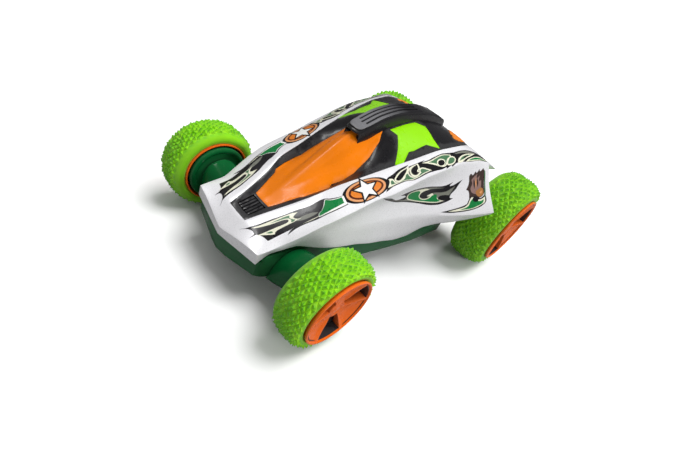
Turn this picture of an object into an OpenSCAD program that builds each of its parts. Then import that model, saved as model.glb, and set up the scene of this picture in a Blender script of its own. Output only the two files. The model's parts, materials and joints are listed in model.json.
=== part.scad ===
// Radio-controlled stunt car on four balloon tyres. The nose points to -Y, the car's left side is +X,
// and the tyres stand on z = 0. Each rear wheel has its own geared motor, so the car steers by driving
// one side faster than the other; the front wheels roll freely on fixed axles.

/* [Wheels] */
// Distance between the front and the rear axle
wheelbase = 218.2; // [217:0.1:220]
// Radius of the front tyres
front_tyre_r = 34; // [33.5:0.1:34.5]
// Width of the front tyres
front_tyre_w = 24.9; // [24:0.1:25.5]
// Sideways distance from the car's middle to the middle of a front wheel
front_wheel_x = 72.1; // [72:0.1:74]
// Radius of the rear tyres
rear_tyre_r = 49.2; // [48.5:0.1:49.5]
// Width of the rear tyres
rear_tyre_w = 38.3; // [37.5:0.1:38.5]
// Sideways distance from the car's middle to the middle of a rear wheel
rear_wheel_x = 80.5; // [80.5:0.1:82]

/* [Chassis] */
// Height of the chassis underside above the ground
floor_z = 20; // [19:0.5:20.5]
// Thickness of the chassis floor
floor_t = 5; // [5:0.5:6]
// Thickness of the chassis side walls
wall_t = 2.2; // [1.8:0.1:2.5]

/* [Drive] */
// Module of the gear teeth
gear_module = 0.7; // [0.68:0.01:0.7]
// Teeth on each motor's pinion
pinion_teeth = 12; // [12:1:12]
// Teeth on each rear axle's drive gear
gear_teeth = 40; // [38:1:40]
// Width of the gear teeth
gear_w = 5; // [4:0.5:5]

/* [Body] */
// Thickness of the body shell, the canopy and its panels
skin_t = 2; // [1.8:0.1:2.2]
// Gap between neighbouring body panels
panel_gap = 0.15; // [0.1:0.05:0.3]

/* [Hidden] */

$fn = 64;
eps = 0.01;

// Colours of the moulded parts
lime = "#86dc10";
orange = "#f5801a";
green = "#0c5c2e";
silver = "#e4e3e8";
black = "#232126";
steel = "#b9bcc0";

// The tyres' front and back faces are equally far from the origin
half_length = (wheelbase + front_tyre_r + rear_tyre_r) / 2;
front_axle_y = front_tyre_r - half_length;
rear_axle_y = half_length - rear_tyre_r;
front_h = front_tyre_w / 2;
rear_h = rear_tyre_w / 2;

// Rims: seat for the tyre, barrel wall, and how far the outer lip stands out of the tyre's side
front_seat_r = 24;
rear_seat_r = 33.2;
front_barrel_t = 1.1;
rear_barrel_t = 1.4;
front_lip_r = 25.1;
rear_lip_r = 34.5;
lip_out = 2;
inner_flange = 0.3;

// Front wheel bearings
front_axle_r = 2;
running = 0.05;
front_bush_r = 4.2;
front_bush_l = 5;
front_hub_r = 6.2;
front_hub_in = -9.2;
front_hub_out = 8;
front_axle_in = 40;
front_axle_out = 7.5;
hub_cover_r = 21.5;
hub_cover_x = 57.5;
arm_root_x = 35.4;
arm_root_y = -115.5;
arm_half_w = 17;
arm_h = 21;
arm_flange_t = 2.5;
arm_flange_y = [-133.8, -97];
hub_cover_t = 5;

// Rear drive: x positions on the car's left side
rear_axle_r = 2.5;
rear_bush_r = 4.5;
rear_hub_r = 8;
rear_hub_in = -18;
rear_hub_out = 12.6;
// Centre caps, pressed into a recess in the end of each hub
hub_rim = 1.2;
hub_drop = 1.5;
cap_top_t = 1.2;
front_cap_l = 2.8;
rear_cap_l = 5.3;
case_x = 38;
case_floor_t = 2.5;
case_end_x = 50;
cover_t = 3;
cover_boss_x = 61.8;
gear_x = 42.5;
case_r = 18;
case_motor_r = 12.5;
case_wall = 2;
pressure_angle = 25;
addendum = 0.9 * gear_module;
dedendum = 1.15 * gear_module;
tooth_thinning = 0.06;
shaft_y = rear_axle_y - gear_module * (gear_teeth + pinion_teeth) / 2;
motor_r = 12;
motor_in_x = 8;
motor_out_x = 35.5;
motor_shaft_r = 1;
ear_r = 3;
ear_spots = [
    [rear_axle_y + 9.9, rear_tyre_r + 17.1],
    [rear_axle_y + 9.9, rear_tyre_r - 17.1],
    [shaft_y - 14.2, rear_tyre_r]
];

// Battery bay in the floor: the door slides back in two grooves
bay_x = 19.5;
bay_y = [-52, 22];
door_half_w = 23;
door_y = [-56, 26];
door_t = 1.6;
groove_z = floor_z + 1.2;
groove_h = 2;
groove_end_y = 61;
door_z = groove_z + 0.2;

// Power switch in the floor, beside the battery bay
switch_x = -34;
switch_y = 8;

// Screws that hold the body shell: x, y, where the head sits, where the post ends
shell_posts = [
    [27, -127, floor_z + 6, 37],
    [43, 42, floor_z + 27, 57]
];
post_r = 4.6;
screw_r = 1.5;
screw_head_r = 3;

// Plan outline of the chassis, left half, from the nose back
tray_half = [
    [0, -147.2], [33.6, -141.6], [35.4, -138], [35.4, -96], [42.5, -72], [45.5, -45],
    [48.5, -18], [51, 14], [51, 62], [case_x, 62], [case_x, 116], [30, 119], [0, 120]
];
// Height of the chassis walls along the car, and how the front wall rises from the middle to its corners
rear_wall_z = 66;
wall_tops = [
    [-149, 36.4], [-140, 36.4], [-137, 40], [-20, 43], [18, 58], [64, 58],
    [66, rear_wall_z], [121, rear_wall_z]
];
nose_wall = [[0, 32.2], [35, 36.4]];

// Body stations from the nose back. Each is y, how far the sides lag behind the middle, the height of
// the middle, then x and z of the canopy's edge, the shoulder crease, the waist, the side ridge and
// the lower edge, and how far the inner surface's station lies from the outer one's.
body_stations = [
    [-148.3, 4.4, 38.6, [9, 40.1], [34.7, 44.2], [34.8, 42], [34.9, 39.5], [35, 36.8], 1],
    [-138, 1.5, 48, [8.9, 48.3], [35.4, 45.8], [35.4, 44.6], [35.2, 43.3], [35, 42], 0],
    [-128, 0, 51.3, [11.3, 52.8], [35.8, 47.9], [36.2, 46.8], [36.4, 45.6], [36.5, 44.5], 0],
    [-119, 0, 55.2, [13.8, 57.1], [38.1, 52.7], [38.3, 50], [38.3, 48], [38, 46], 0],
    [-107.4, 0, 63.6, [17.5, 63.2], [40.8, 60], [40.3, 54], [39.8, 48], [39.6, 43], 0],
    [-96, 0, 72, [21.9, 71], [43, 65.8], [42, 58], [41.8, 50], [42, 40.5], 0],
    [-82, 0, 82.8, [24.2, 77.3], [44.4, 71.3], [43.2, 63], [43.8, 54], [44.5, 39], 0],
    [-66, 0, 95.8, [27.7, 84], [45.5, 77.5], [44.6, 68], [46.5, 56], [46.5, 38], 0],
    [-53, 0, 102.3, [30.3, 89.3], [48, 82], [46, 71.5], [49, 58], [49.3, 37.3], 0],
    [-40, 0, 108, [32.8, 94.4], [49.3, 87.2], [47.5, 75], [51.5, 59.5], [50.8, 36.5], 0],
    [-24, 0, 112.3, [35.8, 100.5], [50.6, 93.8], [49.5, 79], [55, 60.5], [52.5, 34.6], 0],
    [-12, 0, 114.6, [37.4, 104.6], [51.8, 97.6], [51.5, 82], [59, 61.5], [54.5, 36.5], 0],
    [0, 0, 115.8, [38.9, 108], [52.6, 100.6], [54, 84.5], [63.5, 63], [59.3, 47], 0],
    [12, 0, 116, [40.3, 110], [53, 103], [57, 87], [69, 64.5], [64, 51.5], 0],
    [25, 0, 114.8, [41.2, 111.5], [54.5, 105.2], [61, 89.5], [75, 66.5], [70, 55], 0],
    [38, 0, 112.6, [40, 110.6], [57.5, 106], [66, 91], [81.5, 69.5], [76, 59.5], 0],
    [50, 0, 109.8, [37.2, 107.8], [61, 105], [72, 90], [88, 74], [87, 71.5], -1],
    [51, 0, 109.5, [37, 107.5], [61.3, 104.7], [58.6, 96], [57.8, 84], [57.5, 70], -1],
    [62, 0, 105.3, [33.2, 103.6], [65, 101.2], [58.4, 95.5], [57.6, 84], [57, 70], -1],
    [63, 0, 104.9, [32.9, 103.2], [57.5, 99.8], [57.8, 95], [57.4, 84], [57, 70], -1],
    [80, 0, 98.5, [27, 95.6], [52.5, 93.5], [54, 88], [54, 80], [54, 70], 0],
    [98, 0, 89.5, [18, 88.3], [42, 85.5], [46, 82], [47, 76], [47, 70], -1]
];

// How far the band beside the canopy swells between its edges
band_bulge = 0.7;

// Plan outlines of the panels set into the canopy, left half
hood_half = [
    [0, -121.4], [7.5, -121.1], [9.8, -114.6], [12.1, -107.6], [14, -101.6], [20.4, -98.2], [21.8, -93],
    [23, -84], [23.4, -78.5], [22.8, -64.3], [20, -53], [15, -43], [9, -38.5], [0, -38]
];
window_outline = [
    [32.2, -41.5], [25, -35.2], [16.5, -29.8], [10, -32.7], [10, -4], [16, 3.6], [29.5, 0], [38, 0],
    [31, -10.6], [31, -23.6], [30, -27.7], [34.2, -34.8]
];
vent_half = [[0, -134.6], [6.6, -134.2], [7.4, -122.6], [0, -122.9]];
lamp_outline = [[17, 42.5], [25, 31], [31.5, 26.5], [35.5, 28.5], [36, 38], [33, 50], [26, 56], [19.5, 54]];

// Roof scoop: y, half width at the canopy, half width on top, height of the top
scoop_stations = [
    [-63.2, 8, 6.6, 104.6], [-50, 8.7, 7.1, 111.2], [-38.4, 9.3, 7.5, 116.3], [-16.9, 10, 8, 120.8],
    [10.5, 10.3, 8.2, 121.7], [32, 10, 7.7, 119.4], [48.2, 9.4, 7, 115]
];
plate_t = 0.8;
plate_rows = 5;

// ---------- Helpers ----------

function mirrored_x(half) = concat(half, [for (i = [len(half) - 1:-1:0]) [-half[i][0], half[i][1]]]);

module on_side(side) {
    mirror([side < 0 ? 1 : 0, 0, 0]) children();
}

// Turns a child drawn along Z so that it lies along the car's X
module across(x, y, z) {
    translate([x, y, z]) rotate([90, 0, 90]) children();
}

module rod_x(x0, x1, y, z, r) {
    across(x0, y, z) cylinder(r = r, h = x1 - x0);
}

module tube_x(x0, x1, y, z, r, bore) {
    difference() {
        rod_x(x0, x1, y, z, r);
        rod_x(x0 - 1, x1 + 1, y, z, bore);
    }
}

// Rings of equal length joined into one closed solid, capped with fans from each ring's first point
module loft(rings) {
    n = len(rings[0]);
    last = (len(rings) - 1) * n;
    points = [for (ring = rings) for (p = ring) p];
    sides = [
        for (i = [0:len(rings) - 2], j = [0:n - 1], half = [0, 1])
            let (a = i * n + j, b = i * n + (j + 1) % n)
                half == 0 ? [a, b, b + n] : [a, b + n, a + n]
    ];
    caps = [
        for (j = [1:n - 2], end = [0, 1])
            end == 0 ? [0, j + 1, j] : [last, last + j, last + j + 1]
    ];
    polyhedron(points = points, faces = concat(sides, caps), convexity = 10);
}

// ---------- Body surface ----------

// Half profile of one station as [x, z, inward x, inward z], from under the lower edge to the roof's middle
function half_profile(s) =
    let (mid = s[2], edge = s[3], crease = s[4], waist = s[5], ridge = s[6], low = s[7])
    concat(
        [[0, low[1], 0, -4], [low[0], low[1], -1, -4], [ridge[0], ridge[1], -1, 0],
         [waist[0], waist[1], -1, 0], [crease[0], crease[1], -0.8, -0.8],
         [(edge[0] + crease[0]) / 2, (edge[1] + crease[1]) / 2 + band_bulge, -0.2, -1],
         [edge[0], edge[1], -0.3, -1]],
        [for (u = [0.75, 0.5, 0.25, 0])
            [edge[0] * u, edge[1] + (mid - edge[1]) * (1 - u * u), -0.2 * u, -1]]
    );

// Full ring of one station, moved inwards by inset
function body_ring(s, inset) =
    let (
        half = half_profile(s),
        n = len(half),
        y = s[0] + s[8] * inset,
        right = [for (p = half) [p[0] + p[2] * inset, p[1] + p[3] * inset]],
        full = concat(right, [for (i = [n - 2:-1:1]) [-right[i][0], right[i][1]]])
    )
    [for (p = full) [p[0], y + s[1] * abs(p[0]) / 35, p[1]]];

module body_solid(inset) {
    loft([for (s = body_stations) body_ring(s, inset)]);
}

module body_skin() {
    difference() {
        body_solid(0);
        body_solid(skin_t);
    }
}

// The canopy's plan outline, moved in by gap
module canopy_plan(gap) {
    edge = [for (i = [1:len(body_stations) - 1]) [body_stations[i][3][0] - gap, body_stations[i][0]]];
    n = len(edge) - 1;
    front = [edge[0][0], edge[0][1] + gap];
    back = [edge[n][0], edge[n][1] - 4 - gap];
    polygon(mirrored_x(concat([front], [for (i = [1:n - 1]) edge[i]], [back])));
}

// A prism right through the body's height
module through() {
    translate([0, 0, 30]) linear_extrude(110) children();
}

// The part of the skin inside a plan outline
module skin_panel() {
    intersection() {
        body_skin();
        through() children();
    }
}

module shrunk(outline, gap) {
    centre = [for (k = [0, 1]) [for (p = outline) p[k]] * [for (p = outline) 1] / len(outline)];
    polygon([for (p = outline) p - gap * (p - centre) / norm(p - centre)]);
}

module body_shell() {
    color(silver) difference() {
        union() {
            difference() {
                body_skin();
                through() canopy_plan(0);
            }
            // Bosses that take the body screws
            intersection() {
                body_solid(skin_t / 2);
                for (p = shell_posts, side = [-1, 1])
                    translate([side * p[0], p[1], p[3]]) cylinder(r = post_r - 0.6, h = 90);
            }
        }
        for (p = shell_posts, side = [-1, 1])
            translate([side * p[0], p[1], p[3] - eps]) cylinder(r = screw_r, h = 9);
    }
}

module canopy_frame() {
    color(black) difference() {
        skin_panel() canopy_plan(panel_gap);
        through() {
            polygon(mirrored_x(hood_half));
            polygon(mirrored_x(vent_half));
            for (side = [-1, 1]) mirror([side < 0 ? 1 : 0, 0]) {
                polygon(window_outline);
                polygon(lamp_outline);
            }
        }
        // The rear shell bosses stop under the canopy's edge
        for (p = shell_posts, side = [-1, 1])
            translate([side * p[0], p[1], 0]) cylinder(r = post_r, h = 130);
    }
}

module hood_panel() {
    color(orange) skin_panel() shrunk(mirrored_x(hood_half), panel_gap);
}

module window(side) {
    color(lime) on_side(side) skin_panel() shrunk(window_outline, panel_gap);
}

module tail_lamps() {
    color(orange) for (side = [-1, 1]) on_side(side) skin_panel() shrunk(lamp_outline, panel_gap);
}

module nose_vent() {
    slat = 2.2;
    color(black) difference() {
        skin_panel() shrunk(mirrored_x(vent_half), panel_gap);
        // Grooves between the slats, cut from above along the slope of the nose
        for (k = [-2:2])
            translate([k * slat * 1.15 - 0.45, -133, 49.1 - 0.9]) rotate([20, 0, 0]) cube([0.9, 9.6, 6]);
    }
}

// ---------- Roof scoop ----------

function scoop_ring(s, low, side_in, top_in) = [
    [-s[1] + side_in, s[0], low], [s[1] - side_in, s[0], low],
    [s[2] - side_in, s[0], s[3] - top_in], [-s[2] + side_in, s[0], s[3] - top_in]
];

module roof_scoop() {
    mouth_depth = 2;
    color(black) difference() {
        loft([for (s = scoop_stations) scoop_ring(s, 92, 0, 0)]);
        body_solid(0);
        // Open mouth
        loft([for (i = [0:mouth_depth])
            let (s = scoop_stations[i])
                scoop_ring([i == 0 ? s[0] - 1 : s[0], s[1], s[2], s[3]], 91, 1.4, 1.4)]);
    }
}

module scoop_plate() {
    slot_w = 1.5;
    color("#6d6d72") difference() {
        loft([for (i = [0:plate_rows - 1])
            let (s = scoop_stations[i], w = s[2] - 1)
                [[-w, s[0], s[3]], [w, s[0], s[3]],
                 [w, s[0], s[3] + plate_t], [-w, s[0], s[3] + plate_t]]]);
        for (k = [-1:1])
            translate([k * 3.3 - slot_w / 2, -56, 90]) cube([slot_w, 58, 40]);
    }
}

// ---------- Chassis ----------

module tray_plan(inset) {
    polygon(mirrored_x([
        for (p = tray_half)
            [max(0, p[0] - inset), p[1] + (p[1] < -141 ? inset : 0) - (p[1] > 115 ? inset : 0)]
    ]));
}

module chassis_tray() {
    top = 70;
    color(green) difference() {
        union() {
            translate([0, 0, floor_z]) linear_extrude(floor_t) tray_plan(0);
            // Side walls, cut to their height along the car
            intersection() {
                translate([0, 0, floor_z + floor_t - eps]) linear_extrude(top - floor_z) difference() {
                    tray_plan(0);
                    tray_plan(wall_t);
                }
                across(-60, 0, 0) linear_extrude(120)
                    polygon(concat(wall_tops, [[121, 0], [-149, 0]]));
            }
            // Posts under the body shell
            for (p = shell_posts, side = [-1, 1])
                translate([side * p[0], p[1], floor_z + 1]) cylinder(r = post_r, h = p[3] - floor_z - 1);
            // Stand-offs for the circuit board
            for (x = [-22, 22], y = [-42, -2])
                translate([x, y, floor_z + 1]) cylinder(r = 2, h = 27);
            // Cradles under the motors
            for (x = [12, 24], side = [-1, 1])
                translate([side * x - 1.5, shaft_y - 8, floor_z + 1])
                    cube([3, 16, rear_tyre_r - motor_r - floor_z - 0.5]);
        }
        // Bay for the battery, and the grooves of its door
        translate([-bay_x, bay_y[0], floor_z - 1]) cube([2 * bay_x, bay_y[1] - bay_y[0], floor_t + 2]);
        translate([-door_half_w - 0.25, door_y[0] - 0.3, groove_z])
            cube([2 * door_half_w + 0.5, groove_end_y - door_y[0], groove_h]);
        translate([-door_half_w + 2, door_y[0] - 0.3, floor_z - 1])
            cube([2 * door_half_w - 4, groove_end_y - door_y[0], 3]);
        // Slot for the power switch
        translate([switch_x - 2, switch_y - 3, floor_z - 1]) cube([4, 10.4, floor_t + 2]);
        // Screw holes of the body shell
        for (p = shell_posts, side = [-1, 1]) {
            translate([side * p[0], p[1], floor_z - 1])
                cylinder(r = screw_head_r + 0.3, h = p[2] - floor_z + 1);
            translate([side * p[0], p[1], floor_z]) cylinder(r = screw_r + 0.2, h = 80);
        }
        // The motors lie in their cradles
        for (side = [-1, 1]) on_side(side) {
            rod_x(motor_in_x - 2, motor_out_x, shaft_y, rear_tyre_r, motor_r);
            rod_x(motor_out_x - 1, case_x + 1, shaft_y, rear_tyre_r, 7);
            rod_x(motor_out_x - 1, case_x + 1, rear_axle_y, rear_tyre_r, 7);
            rod_x(front_axle_in - 12, front_axle_in + 1, front_axle_y, front_tyre_r, 2.4);
        }
        // The front wall's top follows the lip of the body shell
        translate([0, -139, 0]) rotate([90, 0, 0]) linear_extrude(12)
            polygon(concat(mirrored_x([nose_wall[1], nose_wall[0]]), [[-35, 50], [35, 50]]));
        // Rising corners under the nose
        for (side = [-1, 1]) on_side(side)
            polyhedron(
                points = [
                    [0, -150, floor_z - 0.5], [40, -144, floor_z + 7.5],
                    [40, -124, floor_z - 0.5], [40, -150, floor_z - 8]
                ],
                faces = [[0, 1, 2], [0, 3, 1], [1, 3, 2], [0, 2, 3]]
            );
    }
}

// Plan of the cover over the motors, moved in by inset
module motor_cover_plan(inset) {
    front_y = 64.2 + inset;
    side_x = case_x - inset;
    polygon(mirrored_x([
        [0, front_y], [side_x, front_y], [side_x, 116 - inset], [30, 119 - inset], [0, 120 - inset]
    ]));
}

module motor_cover() {
    plate_t = 3.4;
    color(black) difference() {
        translate([0, 0, rear_wall_z]) linear_extrude(plate_t) motor_cover_plan(0);
        translate([0, 0, rear_wall_z - 1]) linear_extrude(plate_t - 1) motor_cover_plan(2);
        // Cooling slots over the motors
        for (k = [0:3], side = [-1, 1])
            translate([side * 19 - 9, 102 + 3.6 * k, rear_wall_z]) cube([18, 1.6, 6]);
    }
}

module battery_door() {
    length = door_y[1] - door_y[0];
    color(green) difference() {
        union() {
            translate([-door_half_w, door_y[0], door_z]) cube([2 * door_half_w, length, door_t]);
            // Thumb ribs
            for (k = [0:3])
                translate([-8, door_y[1] - 8 - 2.4 * k, door_z - 0.7]) cube([16, 1.2, 1]);
        }
        // Recess for a coin
        translate([-4, door_y[0] + 6, door_z - 1]) cube([8, 2, 1.6]);
    }
}

module battery_pack() {
    cell_r = 9.1;
    z = floor_z + floor_t + cell_r - 1.2;
    color("#2a5fa8") union() {
        for (side = [-1, 1])
            translate([side * (cell_r + 0.05), bay_y[0] + 2, z]) rotate([-90, 0, 0])
                cylinder(r = cell_r, h = 66);
        translate([-cell_r, bay_y[0] + 2, z - 6]) cube([2 * cell_r, 66, 15]);
        // Contact end
        translate([-14, bay_y[0] + 67, z - 5]) cube([28, 3, 10]);
    }
}

module circuit_board() {
    z = floor_z + 28;
    color("#1d7a45") union() {
        translate([-26, -47, z]) cube([52, 50, 1.6]);
        translate([-6, -30, z + 1.5]) cube([12, 12, 2]);
        translate([8, -14, z + 1.5]) cube([10, 6, 4]);
        translate([-20, -38, z + 1.5]) cylinder(r = 4, h = 9);
        translate([12, -40, z + 1.5]) cube([8, 10, 6]);
        translate([-22, -8, z + 1.5]) cube([14, 6, 5]);
    }
}

module switch_body() {
    base = floor_z + floor_t;
    color(black) difference() {
        translate([switch_x - 4, switch_y - 5.5, base]) cube([8, 15, 7]);
        translate([switch_x - 2, switch_y - 3, base - 1]) cube([4, 10.4, 5]);
    }
}

module switch_slider() {
    color(orange) union() {
        translate([switch_x - 1.6, switch_y - 2.6, floor_z + 0.2]) cube([3.2, 5.6, floor_t + 3]);
        for (k = [0:2])
            translate([switch_x - 1.6, switch_y - 2.2 + 1.9 * k, floor_z - 0.5]) cube([3.2, 1, 1]);
    }
}

module body_screws() {
    color(steel) for (p = shell_posts, side = [-1, 1])
        translate([side * p[0], p[1], p[2] - 2.5]) difference() {
            union() {
                cylinder(r = screw_head_r, h = 2.5);
                cylinder(r = screw_r, h = p[3] - p[2] + 10);
            }
            for (a = [0, 90]) rotate(a) translate([-1.6, -0.35, -1]) cube([3.2, 0.7, 2]);
        }
}

// ---------- Front axles and wheels ----------

module front_arm(side) {
    reach = hub_cover_x - arm_root_x;
    color(green) on_side(side) difference() {
        union() {
            // Domed arm: a half round at the tray grows into a full round at the hub cover
            hull() {
                across(arm_root_x, arm_root_y, floor_z) linear_extrude(1) intersection() {
                    scale([arm_half_w, arm_h]) circle(1, $fn = 48);
                    translate([-2 * arm_half_w, 0]) square([4 * arm_half_w, arm_h + 1]);
                }
                across(hub_cover_x - 1.5, front_axle_y, front_tyre_r) cylinder(r = 14, h = 1.5, $fn = 48);
            }
            // Flat flange under it, swept back from the tray's nose
            translate([0, 0, floor_z]) linear_extrude(arm_flange_t) polygon([
                [arm_root_x, arm_flange_y[0]], [hub_cover_x, arm_flange_y[0] + 0.65 * reach],
                [hub_cover_x, arm_flange_y[1] - 0.65 * reach], [arm_root_x, arm_flange_y[1]]
            ]);
        }
        rod_x(front_axle_in - 10, hub_cover_x + 1, front_axle_y, front_tyre_r, front_axle_r);
    }
}

module front_hub_cover(side) {
    color(green) on_side(side) difference() {
        union() {
            rod_x(hub_cover_x, hub_cover_x + hub_cover_t - 1.5, front_axle_y, front_tyre_r, hub_cover_r);
            rod_x(hub_cover_x, hub_cover_x + hub_cover_t, front_axle_y, front_tyre_r, 18);
        }
        rod_x(hub_cover_x - 1, hub_cover_x + hub_cover_t + 1, front_axle_y, front_tyre_r, front_axle_r);
        // Stepped groove near the edge, on the side that faces the car
        tube_x(hub_cover_x - 1, hub_cover_x + 0.9, front_axle_y, front_tyre_r, 19.5, 17.2);
    }
}

module front_axle(side) {
    color(steel) on_side(side) difference() {
        rod_x(front_axle_in, front_wheel_x + front_axle_out, front_axle_y, front_tyre_r, front_axle_r);
        rod_x(front_wheel_x + 1, front_wheel_x + 20, front_axle_y, front_tyre_r, 1);
    }
}

module front_bushes(side) {
    color("#c08a3e") on_side(side) for (x = [front_hub_in, front_hub_out - 1 - front_bush_l])
        tube_x(front_wheel_x + x, front_wheel_x + x + front_bush_l, front_axle_y, front_tyre_r,
            front_bush_r, front_axle_r + running);
}

module wheel_screws() {
    color(steel) for (side = [-1, 1]) on_side(side) difference() {
        union() {
            rod_x(front_wheel_x + front_axle_out, front_wheel_x + front_axle_out + 1.8,
                front_axle_y, front_tyre_r, 3.8);
            rod_x(front_wheel_x + 1.5, front_wheel_x + front_axle_out + 1, front_axle_y, front_tyre_r, 1);
        }
        translate([front_wheel_x + front_axle_out + 1, front_axle_y, front_tyre_r])
            for (a = [0, 90]) rotate([a, 0, 0]) translate([0, -1.8, -0.35]) cube([2, 3.6, 0.7]);
    }
}

// A balloon tyre about the X axis: full radius over the tread, rounded shoulders, narrow sidewalls
module tyre_ring(x, y, r, half_w, seat) {
    shoulder = 6.5 * r / front_tyre_r;
    across(x, y, r) rotate_extrude($fn = 96) polygon([
        [seat, -half_w + 1], [seat + 1.4, -half_w], [0.86 * r, -half_w], [0.93 * r, -half_w + 1.5],
        [0.97 * r, -half_w + shoulder * 0.55], [r, -half_w + shoulder], [r, half_w - shoulder],
        [0.97 * r, half_w - shoulder * 0.55], [0.93 * r, half_w - 1.5], [0.86 * r, half_w],
        [seat + 1.4, half_w], [seat, half_w - 1]
    ]);
}

// One broad spoke in the plane of the wheel, from the hub to the barrel
module spoke_plan(seat, hub_r) {
    root = 26;
    tip = 36;
    intersection() {
        polygon([
            [0, 0], 1.6 * hub_r * [cos(-root), sin(-root)], 1.2 * seat * [cos(-tip), sin(-tip)],
            [1.3 * seat, 0], 1.2 * seat * [cos(tip), sin(tip)], 1.6 * hub_r * [cos(root), sin(root)]
        ]);
        circle(r = seat);
    }
}

// A three-spoke rim about the X axis. x is the wheel's middle; the hub's inner end hub_in and the floor of
// its recess hub_out are measured from it.
module rim(x, y, z, half_w, seat, wall, lip_r, hub_r, hub_in, hub_out, bore) {
    spoke_t = (seat - hub_r) * 0.22;
    difference() {
        union() {
            tube_x(x - half_w - inner_flange, x + half_w + lip_out, y, z, seat, seat - wall);
            tube_x(x + half_w + eps, x + half_w + lip_out, y, z, lip_r, seat - wall);
            rod_x(x + hub_in, x + half_w - hub_drop, y, z, hub_r);
            for (k = [0:2])
                across(x + half_w - spoke_t - 1, y, z) rotate(90 + 120 * k)
                    linear_extrude(spoke_t) spoke_plan(seat - wall / 2, hub_r);
        }
        rod_x(x + hub_in - 1, x + half_w + lip_out + 1, y, z, bore);
        // Recess for the nut or screw on the end of the axle
        rod_x(x + hub_out, x + half_w + lip_out + 1, y, z, hub_r - hub_rim);
    }
}

module dish(x, y, z, half_w, seat, wall, hub_r) {
    spoke_t = (seat - hub_r) * 0.22;
    back = x + half_w - spoke_t - 1;
    tube_x(back - 1.6, back, y, z, seat - wall, hub_r);
}

module front_rim(side) {
    color(orange) on_side(side)
        rim(front_wheel_x, front_axle_y, front_tyre_r, front_h, front_seat_r, front_barrel_t,
            front_lip_r, front_hub_r, front_hub_in, front_hub_out, front_bush_r);
}

module front_dish(side) {
    color(black) on_side(side)
        dish(front_wheel_x, front_axle_y, front_tyre_r, front_h, front_seat_r, front_barrel_t, front_hub_r);
}

module front_tyre(side) {
    color(lime) on_side(side)
        tyre_ring(front_wheel_x, front_axle_y, front_tyre_r, front_h, front_seat_r);
}

// A cup over the wheel's centre, open towards the axle
module centre_cap(x, y, z, hub_r, length, wall) {
    r = hub_r - hub_rim - running;
    difference() {
        rod_x(x, x + length, y, z, r);
        rod_x(x - 1, x + length - cap_top_t, y, z, r - wall);
    }
}

module front_cap(side) {
    color(orange) on_side(side)
        centre_cap(front_wheel_x + front_hub_out, front_axle_y, front_tyre_r, front_hub_r, front_cap_l, 0.9);
}

// ---------- Rear drive ----------

// Polar half width of a tooth at radius r, in degrees
function inv(r, base) = let (a = acos(min(1, base / r))) tan(a) * 180 / PI - a;
function tooth_half(r, teeth, pitch_r, base) =
    90 / teeth - tooth_thinning / pitch_r * 180 / PI + inv(pitch_r, base) - inv(max(r, base), base);

module spur_gear(teeth) {
    pitch_r = gear_module * teeth / 2;
    base = pitch_r * cos(pressure_angle);
    root = pitch_r - dedendum;
    tip = pitch_r + addendum;
    start = max(root, base);
    radii = concat(root < base ? [root] : [], [for (k = [0:3]) start + (tip - start) * k / 3]);
    n = len(radii);
    polygon([
        for (t = [0:teeth - 1], k = [0:2 * n - 1])
            let (
                r = k < n ? radii[k] : radii[2 * n - 1 - k],
                a = 360 * t / teeth + (k < n ? -1 : 1) * tooth_half(r, teeth, pitch_r, base)
            )
            r * [cos(a), sin(a)]
    ]);
}

module drive_gear(side) {
    color("#e9e6dc") on_side(side) difference() {
        union() {
            across(gear_x, rear_axle_y, rear_tyre_r) linear_extrude(gear_w) spur_gear(gear_teeth);
            rod_x(gear_x - 0.5, gear_x + gear_w + 2, rear_axle_y, rear_tyre_r, 5);
        }
        rod_x(gear_x - 2, gear_x + gear_w + 5, rear_axle_y, rear_tyre_r, rear_axle_r);
        for (a = [0:60:300])
            across(gear_x - 1, rear_axle_y, rear_tyre_r) rotate(a) translate([9, 0, 0])
                cylinder(r = 2.2, h = gear_w + 2);
    }
}

module pinion(side) {
    color("#c9a24a") on_side(side) difference() {
        across(gear_x, shaft_y, rear_tyre_r) rotate(180 / pinion_teeth) linear_extrude(gear_w)
            spur_gear(pinion_teeth);
        rod_x(gear_x - 1, gear_x + gear_w + 1, shaft_y, rear_tyre_r, motor_shaft_r);
    }
}

module motor(side) {
    color("#a9adb3") on_side(side) difference() {
        union() {
            rod_x(motor_in_x, motor_out_x, shaft_y, rear_tyre_r, motor_r);
            rod_x(motor_out_x, case_x + case_floor_t - 0.4, shaft_y, rear_tyre_r, 3);
            // Brush cover and terminals at the inner end
            rod_x(motor_in_x - 2.4, motor_in_x + 1, shaft_y, rear_tyre_r, 8);
        }
        rod_x(motor_in_x + 2, motor_out_x + 20, shaft_y, rear_tyre_r, motor_shaft_r + running);
    }
}

module motor_shaft(side) {
    color(steel) on_side(side)
        rod_x(motor_in_x + 3, gear_x + gear_w + 0.8, shaft_y, rear_tyre_r, motor_shaft_r);
}

// Side outline of the gearbox, with r round the axle, motor_side round the motor shaft
module gearbox_plan(r, motor_side) {
    translate([rear_axle_y, rear_tyre_r]) circle(r = r);
    translate([shaft_y, rear_tyre_r]) circle(r = motor_side);
    polygon([
        [rear_axle_y, rear_tyre_r - r], [rear_axle_y, rear_tyre_r + r],
        [shaft_y, rear_tyre_r + motor_side], [shaft_y, rear_tyre_r - motor_side]
    ]);
}

module prism_x(x0, x1) {
    across(x0, 0, 0) linear_extrude(x1 - x0) children();
}

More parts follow.
